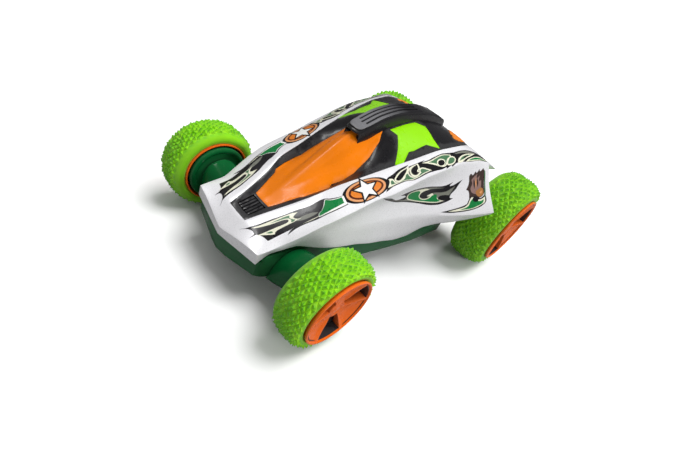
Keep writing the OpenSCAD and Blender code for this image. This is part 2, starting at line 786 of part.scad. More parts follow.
module gearbox_case(side) {
    color(green) on_side(side) difference() {
        union() {
            prism_x(case_x, case_end_x) gearbox_plan(case_r, case_motor_r);
            for (p = ear_spots) rod_x(case_x, case_end_x, p[0], p[1], ear_r);
        }
        prism_x(case_x + case_floor_t, case_end_x + 1)
            gearbox_plan(case_r - case_wall, case_motor_r - case_wall);
        rod_x(case_x - 1, case_end_x, shaft_y, rear_tyre_r, 3);
        rod_x(case_x - 1, case_end_x, rear_axle_y, rear_tyre_r, rear_bush_r);
        for (p = ear_spots) rod_x(case_end_x - 8, case_end_x + 1, p[0], p[1], 1);
    }
}

module gearbox_cover(side) {
    color(green) on_side(side) difference() {
        union() {
            prism_x(case_end_x, case_end_x + cover_t) gearbox_plan(case_r, case_motor_r);
            for (p = ear_spots) rod_x(case_end_x, case_end_x + cover_t, p[0], p[1], ear_r);
            rod_x(case_end_x, cover_boss_x, rear_axle_y, rear_tyre_r, 8);
            prism_x(case_end_x + cover_t, case_end_x + cover_t + 1.5)
                gearbox_plan(case_r - 4, case_motor_r - 4);
        }
        rod_x(case_end_x - 1, cover_boss_x + 1, rear_axle_y, rear_tyre_r, rear_bush_r);
        for (p = ear_spots) rod_x(case_end_x - 1, case_end_x + cover_t + 1, p[0], p[1], 1);
    }
}

module gearbox_screws() {
    color(steel) for (side = [-1, 1], p = ear_spots) on_side(side) difference() {
        union() {
            rod_x(case_end_x - 7, case_end_x + cover_t, p[0], p[1], 1);
            rod_x(case_end_x + cover_t, case_end_x + cover_t + 1.6, p[0], p[1], 2);
        }
        for (a = [0, 90])
            translate([case_end_x + cover_t + 0.9, p[0], p[1]]) rotate([a, 0, 0])
                translate([0, -1.2, -0.25]) cube([2, 2.4, 0.5]);
    }
}

module rear_bushes() {
    color("#c08a3e") for (side = [-1, 1]) on_side(side) {
        tube_x(case_x, case_x + case_floor_t + 1, rear_axle_y, rear_tyre_r,
            rear_bush_r, rear_axle_r + running);
        tube_x(case_end_x + 3, cover_boss_x, rear_axle_y, rear_tyre_r, rear_bush_r, rear_axle_r + running);
    }
}

// Axle with its lock nut
module rear_axle(side) {
    end_x = rear_wheel_x + rear_hub_out;
    color(steel) on_side(side) union() {
        rod_x(case_x - 0.5, end_x + 4, rear_axle_y, rear_tyre_r, rear_axle_r);
        across(end_x, rear_axle_y, rear_tyre_r) cylinder(r = 4.6, h = 3.4, $fn = 6);
    }
}

module rear_rim(side) {
    color(orange) on_side(side)
        rim(rear_wheel_x, rear_axle_y, rear_tyre_r, rear_h, rear_seat_r, rear_barrel_t,
            rear_lip_r, rear_hub_r, rear_hub_in, rear_hub_out, rear_axle_r);
}

module rear_dish(side) {
    color(black) on_side(side)
        dish(rear_wheel_x, rear_axle_y, rear_tyre_r, rear_h, rear_seat_r, rear_barrel_t, rear_hub_r);
}

module rear_tyre(side) {
    color(lime) on_side(side)
        tyre_ring(rear_wheel_x, rear_axle_y, rear_tyre_r, rear_h, rear_seat_r);
}

module rear_cap(side) {
    color(orange) on_side(side)
        centre_cap(rear_wheel_x + rear_hub_out, rear_axle_y, rear_tyre_r, rear_hub_r, rear_cap_l, 1.2);
}

// ---------- Assembly ----------

chassis_tray();
motor_cover();
battery_door();
battery_pack();
circuit_board();
switch_body();
switch_slider();
front_arm(1);  // front_arm_left
front_arm(-1);  // front_arm_right
front_hub_cover(1);  // front_hub_cover_left
front_hub_cover(-1);  // front_hub_cover_right
front_axle(1);  // front_axle_left
front_axle(-1);  // front_axle_right
front_bushes(1);  // front_bushes_left
front_bushes(-1);  // front_bushes_right
front_rim(1);  // front_rim_left
front_rim(-1);  // front_rim_right
front_dish(1);  // front_dish_left
front_dish(-1);  // front_dish_right
front_tyre(1);  // front_tyre_left
front_tyre(-1);  // front_tyre_right
front_cap(1);  // front_cap_left
front_cap(-1);  // front_cap_right
wheel_screws();
gearbox_case(1);  // gearbox_case_left
gearbox_case(-1);  // gearbox_case_right
gearbox_cover(1);  // gearbox_cover_left
gearbox_cover(-1);  // gearbox_cover_right
motor(1);  // motor_left
motor(-1);  // motor_right
motor_shaft(1);  // motor_shaft_left
motor_shaft(-1);  // motor_shaft_right
pinion(1);  // pinion_left
pinion(-1);  // pinion_right
drive_gear(1);  // drive_gear_left
drive_gear(-1);  // drive_gear_right
rear_axle(1);  // rear_axle_left
rear_axle(-1);  // rear_axle_right
rear_bushes();
rear_rim(1);  // rear_rim_left
rear_rim(-1);  // rear_rim_right
rear_dish(1);  // rear_dish_left
rear_dish(-1);  // rear_dish_right
rear_tyre(1);  // rear_tyre_left
rear_tyre(-1);  // rear_tyre_right
rear_cap(1);  // rear_cap_left
rear_cap(-1);  // rear_cap_right
body_shell();
canopy_frame();
hood_panel();
window(1);  // window_left
window(-1);  // window_right
roof_scoop();
scoop_plate();
nose_vent();
tail_lamps();
body_screws();
gearbox_screws();
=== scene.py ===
"""Looks of the radio-controlled stunt car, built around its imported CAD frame.

The nose points to -Y, the car's left side is +X and the tyres stand on z = 0. Shapes are written in
millimetres and turned into metres when a piece is made. The body follows the same stations as the frame.
"""

import json
import math
import random

import bmesh
import bpy
import numpy as np
from mathutils import Matrix, Vector
from mathutils.geometry import delaunay_2d_cdt

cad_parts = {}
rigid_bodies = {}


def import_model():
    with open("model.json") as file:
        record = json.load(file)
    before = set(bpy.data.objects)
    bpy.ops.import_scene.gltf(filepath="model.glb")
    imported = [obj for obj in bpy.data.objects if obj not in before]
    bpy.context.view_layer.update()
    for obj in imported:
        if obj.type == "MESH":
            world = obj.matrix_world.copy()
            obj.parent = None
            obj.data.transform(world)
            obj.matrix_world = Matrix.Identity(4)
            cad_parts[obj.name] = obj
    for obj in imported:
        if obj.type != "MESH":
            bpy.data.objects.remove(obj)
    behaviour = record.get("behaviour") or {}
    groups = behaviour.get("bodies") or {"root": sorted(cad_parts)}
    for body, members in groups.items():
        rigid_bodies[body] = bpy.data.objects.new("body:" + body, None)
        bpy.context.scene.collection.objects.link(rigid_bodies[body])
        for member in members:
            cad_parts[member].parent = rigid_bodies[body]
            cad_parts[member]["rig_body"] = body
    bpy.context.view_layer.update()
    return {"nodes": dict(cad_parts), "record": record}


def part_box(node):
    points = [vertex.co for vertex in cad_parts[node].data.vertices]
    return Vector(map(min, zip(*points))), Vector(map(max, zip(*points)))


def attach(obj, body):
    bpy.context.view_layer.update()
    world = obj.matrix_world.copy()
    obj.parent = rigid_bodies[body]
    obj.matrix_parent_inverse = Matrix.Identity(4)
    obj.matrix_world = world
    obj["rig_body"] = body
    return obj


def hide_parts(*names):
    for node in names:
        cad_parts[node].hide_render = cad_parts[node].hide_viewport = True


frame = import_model()

MM = 0.001
random.seed(11)


# ---------- Materials ----------


def srgb(code):
    """Linear colour of a #rrggbb code."""
    parts = [int(code[i : i + 2], 16) / 255 for i in (1, 3, 5)]
    return tuple(c / 12.92 if c <= 0.04045 else ((c + 0.055) / 1.055) ** 2.4 for c in parts)


def scaled(colour, factor):
    return tuple(min(1.0, c * factor) for c in colour)


class Nodes:
    """A material's node tree, with short ways to add and join nodes."""

    def __init__(self, name):
        self.material = bpy.data.materials.new(name)
        self.material.use_nodes = True
        self.tree = self.material.node_tree
        self.shader = self.tree.nodes["Principled BSDF"]
        self.place = self.tree.nodes.new("ShaderNodeTexCoord").outputs["Object"]

    def add(self, kind, **inputs):
        node = self.tree.nodes.new("ShaderNode" + kind)
        for key, value in inputs.items():
            node.inputs[key.replace("_", " ")].default_value = value
        return node

    def join(self, source, target):
        self.tree.links.new(source, target)

    def noise(self, size_mm, detail=3.0, stretch=(1, 1, 1)):
        """Noise whose features are about size_mm across."""
        node = self.add("TexNoise", Scale=1000 / size_mm, Detail=detail)
        if stretch == (1, 1, 1):
            self.join(self.place, node.inputs["Vector"])
        else:
            mapping = self.add("Mapping", Scale=stretch)
            self.join(self.place, mapping.inputs["Vector"])
            self.join(mapping.outputs["Vector"], node.inputs["Vector"])
        return node.outputs["Fac"]

    def ramp(self, value, low, high, low_at=0.3, high_at=0.7):
        node = self.add("MapRange", To_Min=low, To_Max=high, From_Min=low_at, From_Max=high_at)
        self.join(value, node.inputs["Value"])
        return node.outputs["Result"]

    def mix(self, factor, first, second):
        node = self.tree.nodes.new("ShaderNodeMix")
        node.data_type = "RGBA"
        for socket, value in ((node.inputs[6], first), (node.inputs[7], second)):
            if isinstance(value, tuple):
                socket.default_value = (*value, 1)
            else:
                self.join(value, socket)
        if isinstance(factor, float):
            node.inputs[0].default_value = factor
        else:
            self.join(factor, node.inputs[0])
        return node.outputs[2]

    def bump(self, height, strength, distance_mm):
        node = self.add("Bump", Strength=strength, Distance=distance_mm * MM)
        self.join(height, node.inputs["Height"])
        previous = self.shader.inputs["Normal"]
        if previous.is_linked:
            self.join(previous.links[0].from_socket, node.inputs["Normal"])
        self.join(node.outputs["Normal"], previous)


def plastic(
    name, colour, roughness=0.3, coat=0.0, mottle=0.05, grain=0.12, grain_mm=0.35, edge=0.0,
    orange_peel=0.0, shine=0.5
):
    """A moulded or lacquered finish: slow colour drift, a fine grain in gloss and relief, rubbed edges."""
    n = Nodes(name)
    n.shader.inputs["Specular IOR Level"].default_value = shine
    n.shader.inputs["Coat Weight"].default_value = coat
    n.shader.inputs["Coat Roughness"].default_value = 0.06
    tint = n.mix(n.ramp(n.noise(22), 0, 1), scaled(colour, 1 - mottle), scaled(colour, 1 + mottle))
    tint = n.mix(n.ramp(n.noise(1.3, 2), 0, 0.35), tint, scaled(colour, 1 - 2 * mottle))
    if edge:
        worn = n.add("NewGeometry").outputs["Pointiness"]
        tint = n.mix(n.ramp(worn, 0, edge, 0.51, 0.6), tint, tuple(min(1.0, c + 0.25) for c in colour))
    n.join(tint, n.shader.inputs["Base Color"])
    gloss = n.ramp(n.noise(6), roughness * 0.8, roughness * 1.2)
    n.join(gloss, n.shader.inputs["Roughness"])
    n.bump(n.noise(grain_mm, 2), grain, 0.03)
    if orange_peel:
        n.bump(n.noise(3.5, 1), orange_peel, 0.05)
    return n.material


def tread_rubber():
    """Lime foam rubber with a matt bloom; painted shade makes the pits deeper green and a painted highlight
    makes the crests brighter.
    """
    n = Nodes("tyre_lime")
    base, painted_pit_shade, painted_crest_highlight = srgb("#6cc006"), srgb("#145c02"), srgb("#a6e214")
    crest = n.add("NewGeometry").outputs["Pointiness"]
    tint = n.mix(n.ramp(n.noise(9), 0, 1), scaled(base, 0.9), scaled(base, 1.1))
    # Painted shade in the pits and a painted highlight on the crests, both keyed to pointiness
    tint = n.mix(n.ramp(crest, 1.0, 0, 0.45, 0.51), tint, painted_pit_shade)
    tint = n.mix(n.ramp(crest, 0, 0.9, 0.5, 0.58), tint, painted_crest_highlight)
    n.join(tint, n.shader.inputs["Base Color"])
    n.join(n.ramp(n.noise(2), 0.42, 0.6), n.shader.inputs["Roughness"])
    n.shader.inputs["Sheen Weight"].default_value = 0.12
    n.bump(n.noise(0.5, 3), 0.25, 0.06)
    return n.material


def metal(name, colour, roughness, brushed=(1, 1, 1), scratch=0.15):
    n = Nodes(name)
    n.shader.inputs["Metallic"].default_value = 1.0
    tint = n.mix(n.ramp(n.noise(8), 0, 1), scaled(colour, 0.85), scaled(colour, 1.1))
    n.join(tint, n.shader.inputs["Base Color"])
    n.join(n.ramp(n.noise(1.5, 4, brushed), roughness * 0.7, roughness * 1.3), n.shader.inputs["Roughness"])
    n.bump(n.noise(0.6, 4, brushed), scratch, 0.02)
    return n.material


def pearl_white():
    """Silver-white lacquer: fine flakes under a clear coat, slightly cooler in the slow drift."""
    n = Nodes("body_silver")
    base = srgb("#eeedf0")
    tint = n.mix(n.ramp(n.noise(30), 0, 1), scaled(base, 0.97), scaled(base, 1.02))
    flake = n.add("TexVoronoi", Scale=2600.0)
    n.join(n.place, flake.inputs["Vector"])
    spark = n.add("RGBToBW")
    n.join(flake.outputs["Color"], spark.inputs["Color"])
    tint = n.mix(n.ramp(spark.outputs["Val"], 0, 0.16, 0.2, 0.9), tint, srgb("#b9b8c2"))
    n.join(tint, n.shader.inputs["Base Color"])
    n.join(n.ramp(spark.outputs["Val"], 0.24, 0.4, 0, 1), n.shader.inputs["Roughness"])
    n.shader.inputs["Metallic"].default_value = 0.12
    n.shader.inputs["Coat Weight"].default_value = 0.35
    n.shader.inputs["Coat Roughness"].default_value = 0.05
    n.bump(n.noise(4.0, 1), 0.06, 0.04)
    return n.material


def fading_grey():
    """The scoop plate: satin grey at its front, black further back."""
    n = Nodes("scoop_grey")
    axes = n.add("SeparateXYZ")
    n.join(n.place, axes.inputs["Vector"])
    back = n.ramp(axes.outputs["Y"], 0, 1, -0.046, -0.012)
    grey = n.mix(n.ramp(n.noise(1.2), 0, 0.5), srgb("#7d7d80"), srgb("#66666a"))
    n.join(n.mix(back, grey, srgb("#1d1c20")), n.shader.inputs["Base Color"])
    n.join(n.ramp(n.noise(3), 0.3, 0.45), n.shader.inputs["Roughness"])
    n.bump(n.noise(0.35, 2), 0.2, 0.03)
    return n.material


ORANGE = srgb("#e8650a")
GREEN = srgb("#0a5a2c")
BLACK = srgb("#1b1a1d")

materials = {
    "tyre_lime": tread_rubber(),
    "rim_orange": plastic("rim_orange", ORANGE, 0.28, 0.1, 0.05, 0.1, edge=0.25, shine=0.25),
    "black_plastic": plastic("black_plastic", BLACK, 0.3, 0.15, 0.12, 0.14, edge=0.1, shine=0.4),
    "chassis_green": plastic(
        "chassis_green", GREEN, 0.2, 0.12, 0.1, 0.1, edge=0.15, orange_peel=0.06, shine=0.15
    ),
    "body_silver": pearl_white(),
    "hood_orange": plastic(
        "hood_orange", srgb("#ee7d02"), 0.3, 0.08, 0.04, 0.05, edge=0.1, orange_peel=0.05, shine=0.25
    ),
    "lamp_orange": plastic("lamp_orange", srgb("#f38a22"), 0.2, 0.4, 0.06, 0.06),
    "window_lime": plastic("window_lime", srgb("#92e002"), 0.3, 0.08, 0.04, 0.05, orange_peel=0.05),
    "scoop_grey": fading_grey(),
    "battery_wrap": plastic("battery_wrap", srgb("#244f97"), 0.3, 0.2, 0.1, 0.25, 1.2),
    "circuit_board": plastic("circuit_board", srgb("#15693a"), 0.4, 0.1, 0.2, 0.2, 0.6),
    "steel": metal("steel", (0.62, 0.63, 0.65), 0.28),
    "motor_can": metal("motor_can", (0.56, 0.57, 0.6), 0.35, (1, 6, 6)),
    "brass": metal("brass", (0.74, 0.52, 0.22), 0.35),
    "gear_nylon": plastic("gear_nylon", srgb("#e6e2d6"), 0.45, 0, 0.05, 0.15),
}
DECAL_COLOURS = {
    "black": "#18161a", "white": "#f3f2ee", "cream": "#e4e3cc", "green": "#0c7a3c", "moss": "#4a7452",
    "grey": "#77786f",
    "orange": "#e07c1c", "tan": "#dd9a66", "brown": "#5a2208", "umber": "#40312d", "mauve": "#8f726c",
    "ochre": "#a87440",
}
for key, code in DECAL_COLOURS.items():
    materials[f"decal_{key}"] = plastic(f"decal_{key}", srgb(code), 0.3, 0.2, 0.06, 0.06)


# ---------- Mesh helpers ----------


class Build:
    """Vertices in millimetres and faces of one piece, collected part by part."""

    def __init__(self):
        self.verts = []
        self.faces = []
        self.smooth = []
        self.slots = []

    def add(self, verts, faces, smooth=True, slot=0):
        start = len(self.verts)
        self.verts += [tuple(float(c) for c in v) for v in verts]
        self.faces += [tuple(start + i for i in f) for f in faces]
        self.smooth += [smooth] * len(faces)
        self.slots += [slot] * len(faces)
        return self

    def piece(self, name, finishes, side=1, weld=0.0):
        """Makes the object. side -1 mirrors it to the car's right."""
        mesh = bpy.data.meshes.new(name)
        verts = [(side * x * MM, y * MM, z * MM) for x, y, z in self.verts]
        faces = [f if side > 0 else f[::-1] for f in self.faces]
        mesh.from_pydata(verts, [], faces)
        mesh.polygons.foreach_set("use_smooth", self.smooth)
        mesh.polygons.foreach_set("material_index", self.slots)
        for finish in finishes:
            mesh.materials.append(materials[finish])
        obj = bpy.data.objects.new(name, mesh)
        bpy.context.scene.collection.objects.link(obj)
        if weld:
            clean(obj, weld)
        return obj


def clean(obj, weld=0.001, outward=True):
    """Joins points closer than weld millimetres and turns the faces outwards."""
    bm = bmesh.new()
    bm.from_mesh(obj.data)
    bmesh.ops.remove_doubles(bm, verts=bm.verts, dist=weld * MM)
    if outward:
        bmesh.ops.recalc_face_normals(bm, faces=bm.faces)
    bm.to_mesh(obj.data)
    bm.free()


def bake(obj):
    """Applies the modifiers of obj to its mesh."""
    depsgraph = bpy.context.evaluated_depsgraph_get()
    mesh = bpy.data.meshes.new_from_object(obj.evaluated_get(depsgraph))
    obj.modifiers.clear()
    old = obj.data
    obj.data = mesh
    bpy.data.meshes.remove(old)


def solid(obj, thickness, even=True):
    """Gives a sheet its thickness in millimetres, inwards from its outer face."""
    modifier = obj.modifiers.new("solid", "SOLIDIFY")
    modifier.thickness = thickness * MM
    modifier.offset = -1
    modifier.use_even_offset = even
    modifier.use_quality_normals = True


def rounded(obj, width, angle=40, segments=2, clamp=True):
    """Rounds the edges sharper than angle, and shades the rest smooth."""
    modifier = obj.modifiers.new("rounded", "BEVEL")
    modifier.width = width * MM
    modifier.segments = segments
    modifier.limit_method = "ANGLE"
    modifier.angle_limit = math.radians(angle)
    modifier.use_clamp_overlap = clamp
    bake(obj)
    shade(obj)


def shade(obj, angle=38):
    obj.data.polygons.foreach_set("use_smooth", [True] * len(obj.data.polygons))
    obj.data.set_sharp_from_angle(angle=math.radians(angle))


def settle(obj, nodes=(), body=None):
    """Rides obj on a body and hides the CAD nodes it stands in for."""
    nodes = [nodes] if isinstance(nodes, str) else list(nodes)
    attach(obj, body or frame["nodes"][nodes[0]]["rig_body"])
    if nodes:
        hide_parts(*nodes)
    return obj


def grid_faces(rows, columns, closed=False, flip=False):
    """Quads between rows of points laid out one row after another."""
    faces = []
    for i in range(rows - 1):
        for j in range(columns if closed else columns - 1):
            k = (j + 1) % columns
            quad = (i * columns + j, i * columns + k, (i + 1) * columns + k, (i + 1) * columns + j)
            faces.append(quad[::-1] if flip else quad)
    return faces


def lathe(profile, centre, segments=96, closed=True):
    """Points and faces of a closed outline of (x, radius) turned about an X axis through centre (y, z)."""
    verts = []
    for x, r in profile:
        for k in range(segments):
            a = 2 * math.pi * k / segments
            verts.append((x, centre[0] + r * math.cos(a), centre[1] + r * math.sin(a)))
    rows = len(profile)
    faces = grid_faces(rows, segments, closed=True)
    if closed:
        last = (rows - 1) * segments
        for k in range(segments):
            n = (k + 1) % segments
            faces.append((last + k, last + n, n, k))
    return verts, faces


def rounded_outline(corners, radius, steps=4):
    """A closed outline with each corner replaced by an arc-like curve, whose radius a third value may set."""
    points = []
    count = len(corners)
    for i, corner in enumerate(corners):
        here = np.array(corner[:2], float)
        before = np.array(corners[i - 1][:2], float)
        after = np.array(corners[(i + 1) % count][:2], float)
        r = corner[2] if len(corner) > 2 else radius
        if r == 0:
            points.append(tuple(here))
            continue
        a, b = before - here, after - here
        reach = min(r, 0.49 * np.linalg.norm(a), 0.49 * np.linalg.norm(b))
        p, q = here + a / np.linalg.norm(a) * reach, here + b / np.linalg.norm(b) * reach
        for k in range(steps + 1):
            t = k / steps
            points.append(tuple((1 - t) ** 2 * p + 2 * t * (1 - t) * here + t * t * q))
    return points


def smooth_curve(xs, ys, at):
    """A smooth curve through the points (xs, ys), with no overshoot between them, read at the values at."""
    xs, ys = np.asarray(xs, float), np.asarray(ys, float)
    h, d = np.diff(xs), np.diff(ys) / np.diff(xs)
    slope = np.zeros_like(ys)
    slope[0], slope[-1] = d[0], d[-1]
    for i in range(1, len(xs) - 1):
        if d[i - 1] * d[i] > 0:
            w1, w2 = 2 * h[i] + h[i - 1], h[i] + 2 * h[i - 1]
            slope[i] = (w1 + w2) / (w1 / d[i - 1] + w2 / d[i])
    at = np.asarray(at, float)
    i = np.clip(np.searchsorted(xs, at) - 1, 0, len(xs) - 2)
    t = np.clip((at - xs[i]) / h[i], 0, 1)
    h00, h10 = 2 * t**3 - 3 * t**2 + 1, t**3 - 2 * t**2 + t
    h01, h11 = -2 * t**3 + 3 * t**2, t**3 - t**2
    return h00 * ys[i] + h10 * h[i] * slope[i] + h01 * ys[i + 1] + h11 * h[i] * slope[i + 1]


# ---------- Body surface ----------

# y, how far the sides lag behind the middle, height of the middle, then x and z of the canopy's edge,
# the shoulder crease, the waist, the side ridge and the lower edge
STATIONS = np.array([
    [-148.3, 4.4, 38.6, 9, 40.1, 34.7, 44.2, 34.8, 42, 34.9, 39.5, 35, 36.8],
    [-138, 1.5, 48, 8.9, 48.3, 35.4, 45.8, 35.4, 44.6, 35.2, 43.3, 35, 42],
    [-128, 0, 51.3, 11.3, 52.8, 35.8, 47.9, 36.2, 46.8, 36.4, 45.6, 36.5, 44.5],
    [-119, 0, 55.2, 13.8, 57.1, 38.1, 52.7, 38.3, 50, 38.3, 48, 38, 46],
    [-107.4, 0, 63.6, 17.5, 63.2, 40.8, 60, 40.3, 54, 39.8, 48, 39.6, 43],
    [-96, 0, 72, 21.9, 71, 43, 65.8, 42, 58, 41.8, 50, 42, 40.5],
    [-82, 0, 82.8, 24.2, 77.3, 44.4, 71.3, 43.2, 63, 43.8, 54, 44.5, 39],
    [-66, 0, 95.8, 27.7, 84, 45.5, 77.5, 44.6, 68, 46.5, 56, 46.5, 38],
    [-53, 0, 102.3, 30.3, 89.3, 48, 82, 46, 71.5, 49, 58, 49.3, 37.3],
    [-40, 0, 108, 32.8, 94.4, 49.3, 87.2, 47.5, 75, 51.5, 59.5, 50.8, 36.5],
    [-24, 0, 112.3, 35.8, 100.5, 50.6, 93.8, 49.5, 79, 55, 60.5, 52.5, 34.6],
    [-12, 0, 114.6, 37.4, 104.6, 51.8, 97.6, 51.5, 82, 59, 61.5, 54.5, 36.5],
    [0, 0, 115.8, 38.9, 108, 52.6, 100.6, 54, 84.5, 63.5, 63, 59.3, 47],
    [12, 0, 116, 40.3, 110, 53, 103, 57, 87, 69, 64.5, 64, 51.5],
    [25, 0, 114.8, 41.2, 111.5, 54.5, 105.2, 61, 89.5, 75, 66.5, 70, 55],
    [38, 0, 112.6, 40, 110.6, 57.5, 106, 66, 91, 81.5, 69.5, 76, 59.5],
    [50, 0, 109.8, 37.2, 107.8, 61, 105, 72, 90, 88, 74, 87, 71.5],
    [51, 0, 109.5, 37, 107.5, 61.3, 104.7, 58.6, 96, 57.8, 84, 57.5, 70],
    [62, 0, 105.3, 33.2, 103.6, 65, 101.2, 58.4, 95.5, 57.6, 84, 57, 70],
    [63, 0, 104.9, 32.9, 103.2, 57.5, 99.8, 57.8, 95, 57.4, 84, 57, 70],
    [80, 0, 98.5, 27, 95.6, 52.5, 93.5, 54, 88, 54, 80, 54, 70],
    [98, 0, 89.5, 18, 88.3, 42, 85.5, 46, 82, 47, 76, 47, 70],
])
SKIN = 2.0
NOSE_Y, CANOPY_FRONT, FENDER_END, DECK_START, DECK_END, TAIL_START, CANOPY_BACK, TAIL_END = (
    -148.3, -138, 50, 51, 62, 63, 94, 98
)
BAND_BULGE = 0.7
LIP_MIDDLE_Z, LIP_CORNER_Z, NOSE_HALF = 32.7, 36.8, 35.0

COLUMN = {"lag": 1, "mid": 2, "edge": 3, "crease": 5, "waist": 7, "ridge": 9, "low": 11}


def station_curve(column, y):
    """One column of the stations at the heights y, smooth except where the body steps."""
    ys = STATIONS[:, 0]
    y = np.atleast_1d(np.asarray(y, float))
    out = np.zeros_like(y)
    if column <= 4:
        spans = [(0, 1), (1, 21)]
    elif column <= 6:
        spans = [(0, 18), (19, 21)]
    else:
        spans = [(0, 16), (17, 18), (19, 21)]
    for first, last in spans:
        mask = (y >= ys[first] - 1e-6) & (y <= ys[last] + 1e-6)
        if mask.any():
            out[mask] = smooth_curve(ys[first : last + 1], STATIONS[first : last + 1, column], y[mask])
    return out


def body_point(kind, y):
    """(x, z) of one of the body's lines at y."""
    c = COLUMN[kind]
    return np.stack([station_curve(c, y), station_curve(c + 1, y)], -1)


# The valley between the body's rails and the hood: y, its distance from the middle, and its depth
VALLEY = np.array([
    [-138, 6, 0], [-121.8, 7.6, 0.6], [-104, 14.4, 2], [-94, 17.3, 4.2], [-84.4, 18.8, 6.3],
    [-75, 19.6, 7.8], [-66, 19.7, 8.7], [-52.6, 17, 6.7], [-42, 14.5, 3], [-32, 13, 0], [98, 13, 0],
])


def canopy_height(x, y):
    """Height of the canopy's outer face: an arch from edge to edge, with a valley beside the hood."""
    x, y = np.asarray(x, float), np.asarray(y, float)
    edge = body_point("edge", y)
    mid = station_curve(COLUMN["mid"], y)
    across = np.abs(x)
    u = np.clip(across / edge[:, 0], 0, 1)
    valley = smooth_curve(VALLEY[:, 0], VALLEY[:, 1], np.atleast_1d(y))
    depth = smooth_curve(VALLEY[:, 0], VALLEY[:, 2], np.atleast_1d(y))
    inner, outer = across / valley, (edge[:, 0] - across) / np.maximum(edge[:, 0] - valley, 0.1)
    sunk = depth * np.clip(np.minimum(inner, outer), 0, 1)
    return edge[:, 1] + (mid - edge[:, 1]) * (1 - u * u) - sunk


def band_points(y, t):
    """Points on the band below the canopy: y along the car, t from 0 at the canopy to 1 at the crease."""
    y, t = np.asarray(y, float), np.asarray(t, float)
    edge, crease = body_point("edge", y), body_point("crease", y)
    xz = edge + (crease - edge) * t[:, None]
    xz[:, 1] += BAND_BULGE * 4 * t * (1 - t)
    lag = station_curve(COLUMN["lag"], y)
    return np.stack([xz[:, 0], y + lag * xz[:, 0] / 35, xz[:, 1]], -1)


def side_points(y, t):
    """Points on the side: t is 0 at the crease, 1 at the waist, 2 at the ridge and 3 at the lower edge."""
    y, t = np.asarray(y, float), np.asarray(t, float)
    knots = np.stack([body_point(k, y) for k in ("crease", "waist", "ridge", "low")], 1)
    slopes = np.zeros_like(knots)
    slopes[:, 1] = (knots[:, 2] - knots[:, 0]) / 2
    slopes[:, 2] = knots[:, 2] - knots[:, 1]
    slopes[:, 0] = knots[:, 1] - knots[:, 0]
    slopes[:, 3] = knots[:, 3] - knots[:, 2]
    i = np.clip(t.astype(int), 0, 2)
    f = (t - i)[:, None]
    row = np.arange(len(y))
    a, b, sa, sb = knots[row, i], knots[row, i + 1], slopes[row, i], slopes[row, i + 1]
    straight = (i == 2)[:, None]
    curve = (
        (2 * f**3 - 3 * f**2 + 1) * a
        + (f**3 - 2 * f**2 + f) * sa
        + (-2 * f**3 + 3 * f**2) * b
        + (f**3 - f**2) * sb
    )
    xz = np.where(straight, a + (b - a) * f, curve)
    lag = station_curve(COLUMN["lag"], y)
    return np.stack([xz[:, 0], y + lag * xz[:, 0] / 35, xz[:, 1]], -1)


def spread(start, end, step):
    return list(np.linspace(start, end, max(2, int(round((end - start) / step)) + 1)))


def shell_rows():
    rows = spread(NOSE_Y, CANOPY_FRONT, 1.7) + spread(CANOPY_FRONT, FENDER_END, 2.0)[1:]
    rows += spread(DECK_START, DECK_END, 2.7) + spread(TAIL_START, CANOPY_BACK, 3.4)
    return np.array(rows + [TAIL_END])


CANOPY_STEPS, BAND_STEPS, SIDE_STEPS, LOW_STEPS = 4, 8, 9, 4


def shell_half():
    """Rows of points of the left half: canopy, band, side."""
    rows = shell_rows()
    n = len(rows)
    columns = []
    for k in range(CANOPY_STEPS):
        x = body_point("edge", rows)[:, 0] * k / CANOPY_STEPS
        lag = station_curve(COLUMN["lag"], rows)
        columns.append(np.stack([x, rows + lag * x / 35, canopy_height(x, rows)], -1))
    for k in range(BAND_STEPS + 1):
        columns.append(band_points(rows, np.full(n, k / BAND_STEPS)))
    side_ts = [k / SIDE_STEPS for k in range(1, 2 * SIDE_STEPS + 1)]
    side_ts += [2 + k / LOW_STEPS for k in range(1, LOW_STEPS + 1)]
    for t in side_ts:
        columns.append(side_points(rows, np.full(n, t)))
    return rows, np.stack(columns, 1)


def body_shell():
    rows, half = shell_half()
    n, m = half.shape[:2]
    build = Build()
    faces = []
    for i in range(n - 1):
        covered = rows[i] > CANOPY_FRONT - 0.1 and rows[i + 1] < CANOPY_BACK + 0.1
        for j in range(m - 1):
            if covered and j < CANOPY_STEPS:
                continue
            faces.append((i * m + j, i * m + j + 1, (i + 1) * m + j + 1, (i + 1) * m + j))
    points = half.reshape(-1, 3)
    build.add(points, faces)
    build.add(points * np.array([-1, 1, 1]), [f[::-1] for f in faces])
    # Front face, from the top's front edge down to the lip
    top = half[0, : CANOPY_STEPS + BAND_STEPS + 1]
    corner = half[0, CANOPY_STEPS + BAND_STEPS :]
    drop = (corner[:, 2] - corner[0, 2]) / (corner[-1, 2] - corner[0, 2])
    face = []
    for share in drop:
        lip = LIP_MIDDLE_Z + (LIP_CORNER_Z - LIP_MIDDLE_Z) * top[:, 0] / NOSE_HALF
        line = top.copy()
        line[:, 2] = top[:, 2] + (lip - top[:, 2]) * share
        line[:, 0] += (corner[-1, 0] - corner[0, 0]) * share * top[:, 0] / top[-1, 0]
        face.append(line)
    for k in range(len(drop)):
        face[k][-1] = corner[k]
    face = np.array(face)
    quads = grid_faces(face.shape[0], face.shape[1])
    build.add(face.reshape(-1, 3), quads)
    build.add(face.reshape(-1, 3) * np.array([-1, 1, 1]), [q[::-1] for q in quads])
    # Rear wall
    ring = [tuple(p) for p in half[-1]]
    ring = ring + [(-x, y, z) for x, y, z in ring[::-1][:-1]]
    build.add(ring, [tuple(range(len(ring)))[::-1]])
    obj = build.piece("body_shell_look", ["body_silver"], weld=0.02)
    up = sum(p.normal.z for p in obj.data.polygons if p.center.z > 0.04)
    if up < 0:
        obj.data.flip_normals()
    solid(obj, SKIN)
    bake(obj)
    clean(obj)
    rounded(obj, 0.55, 42)
    return settle(obj, "body_shell")


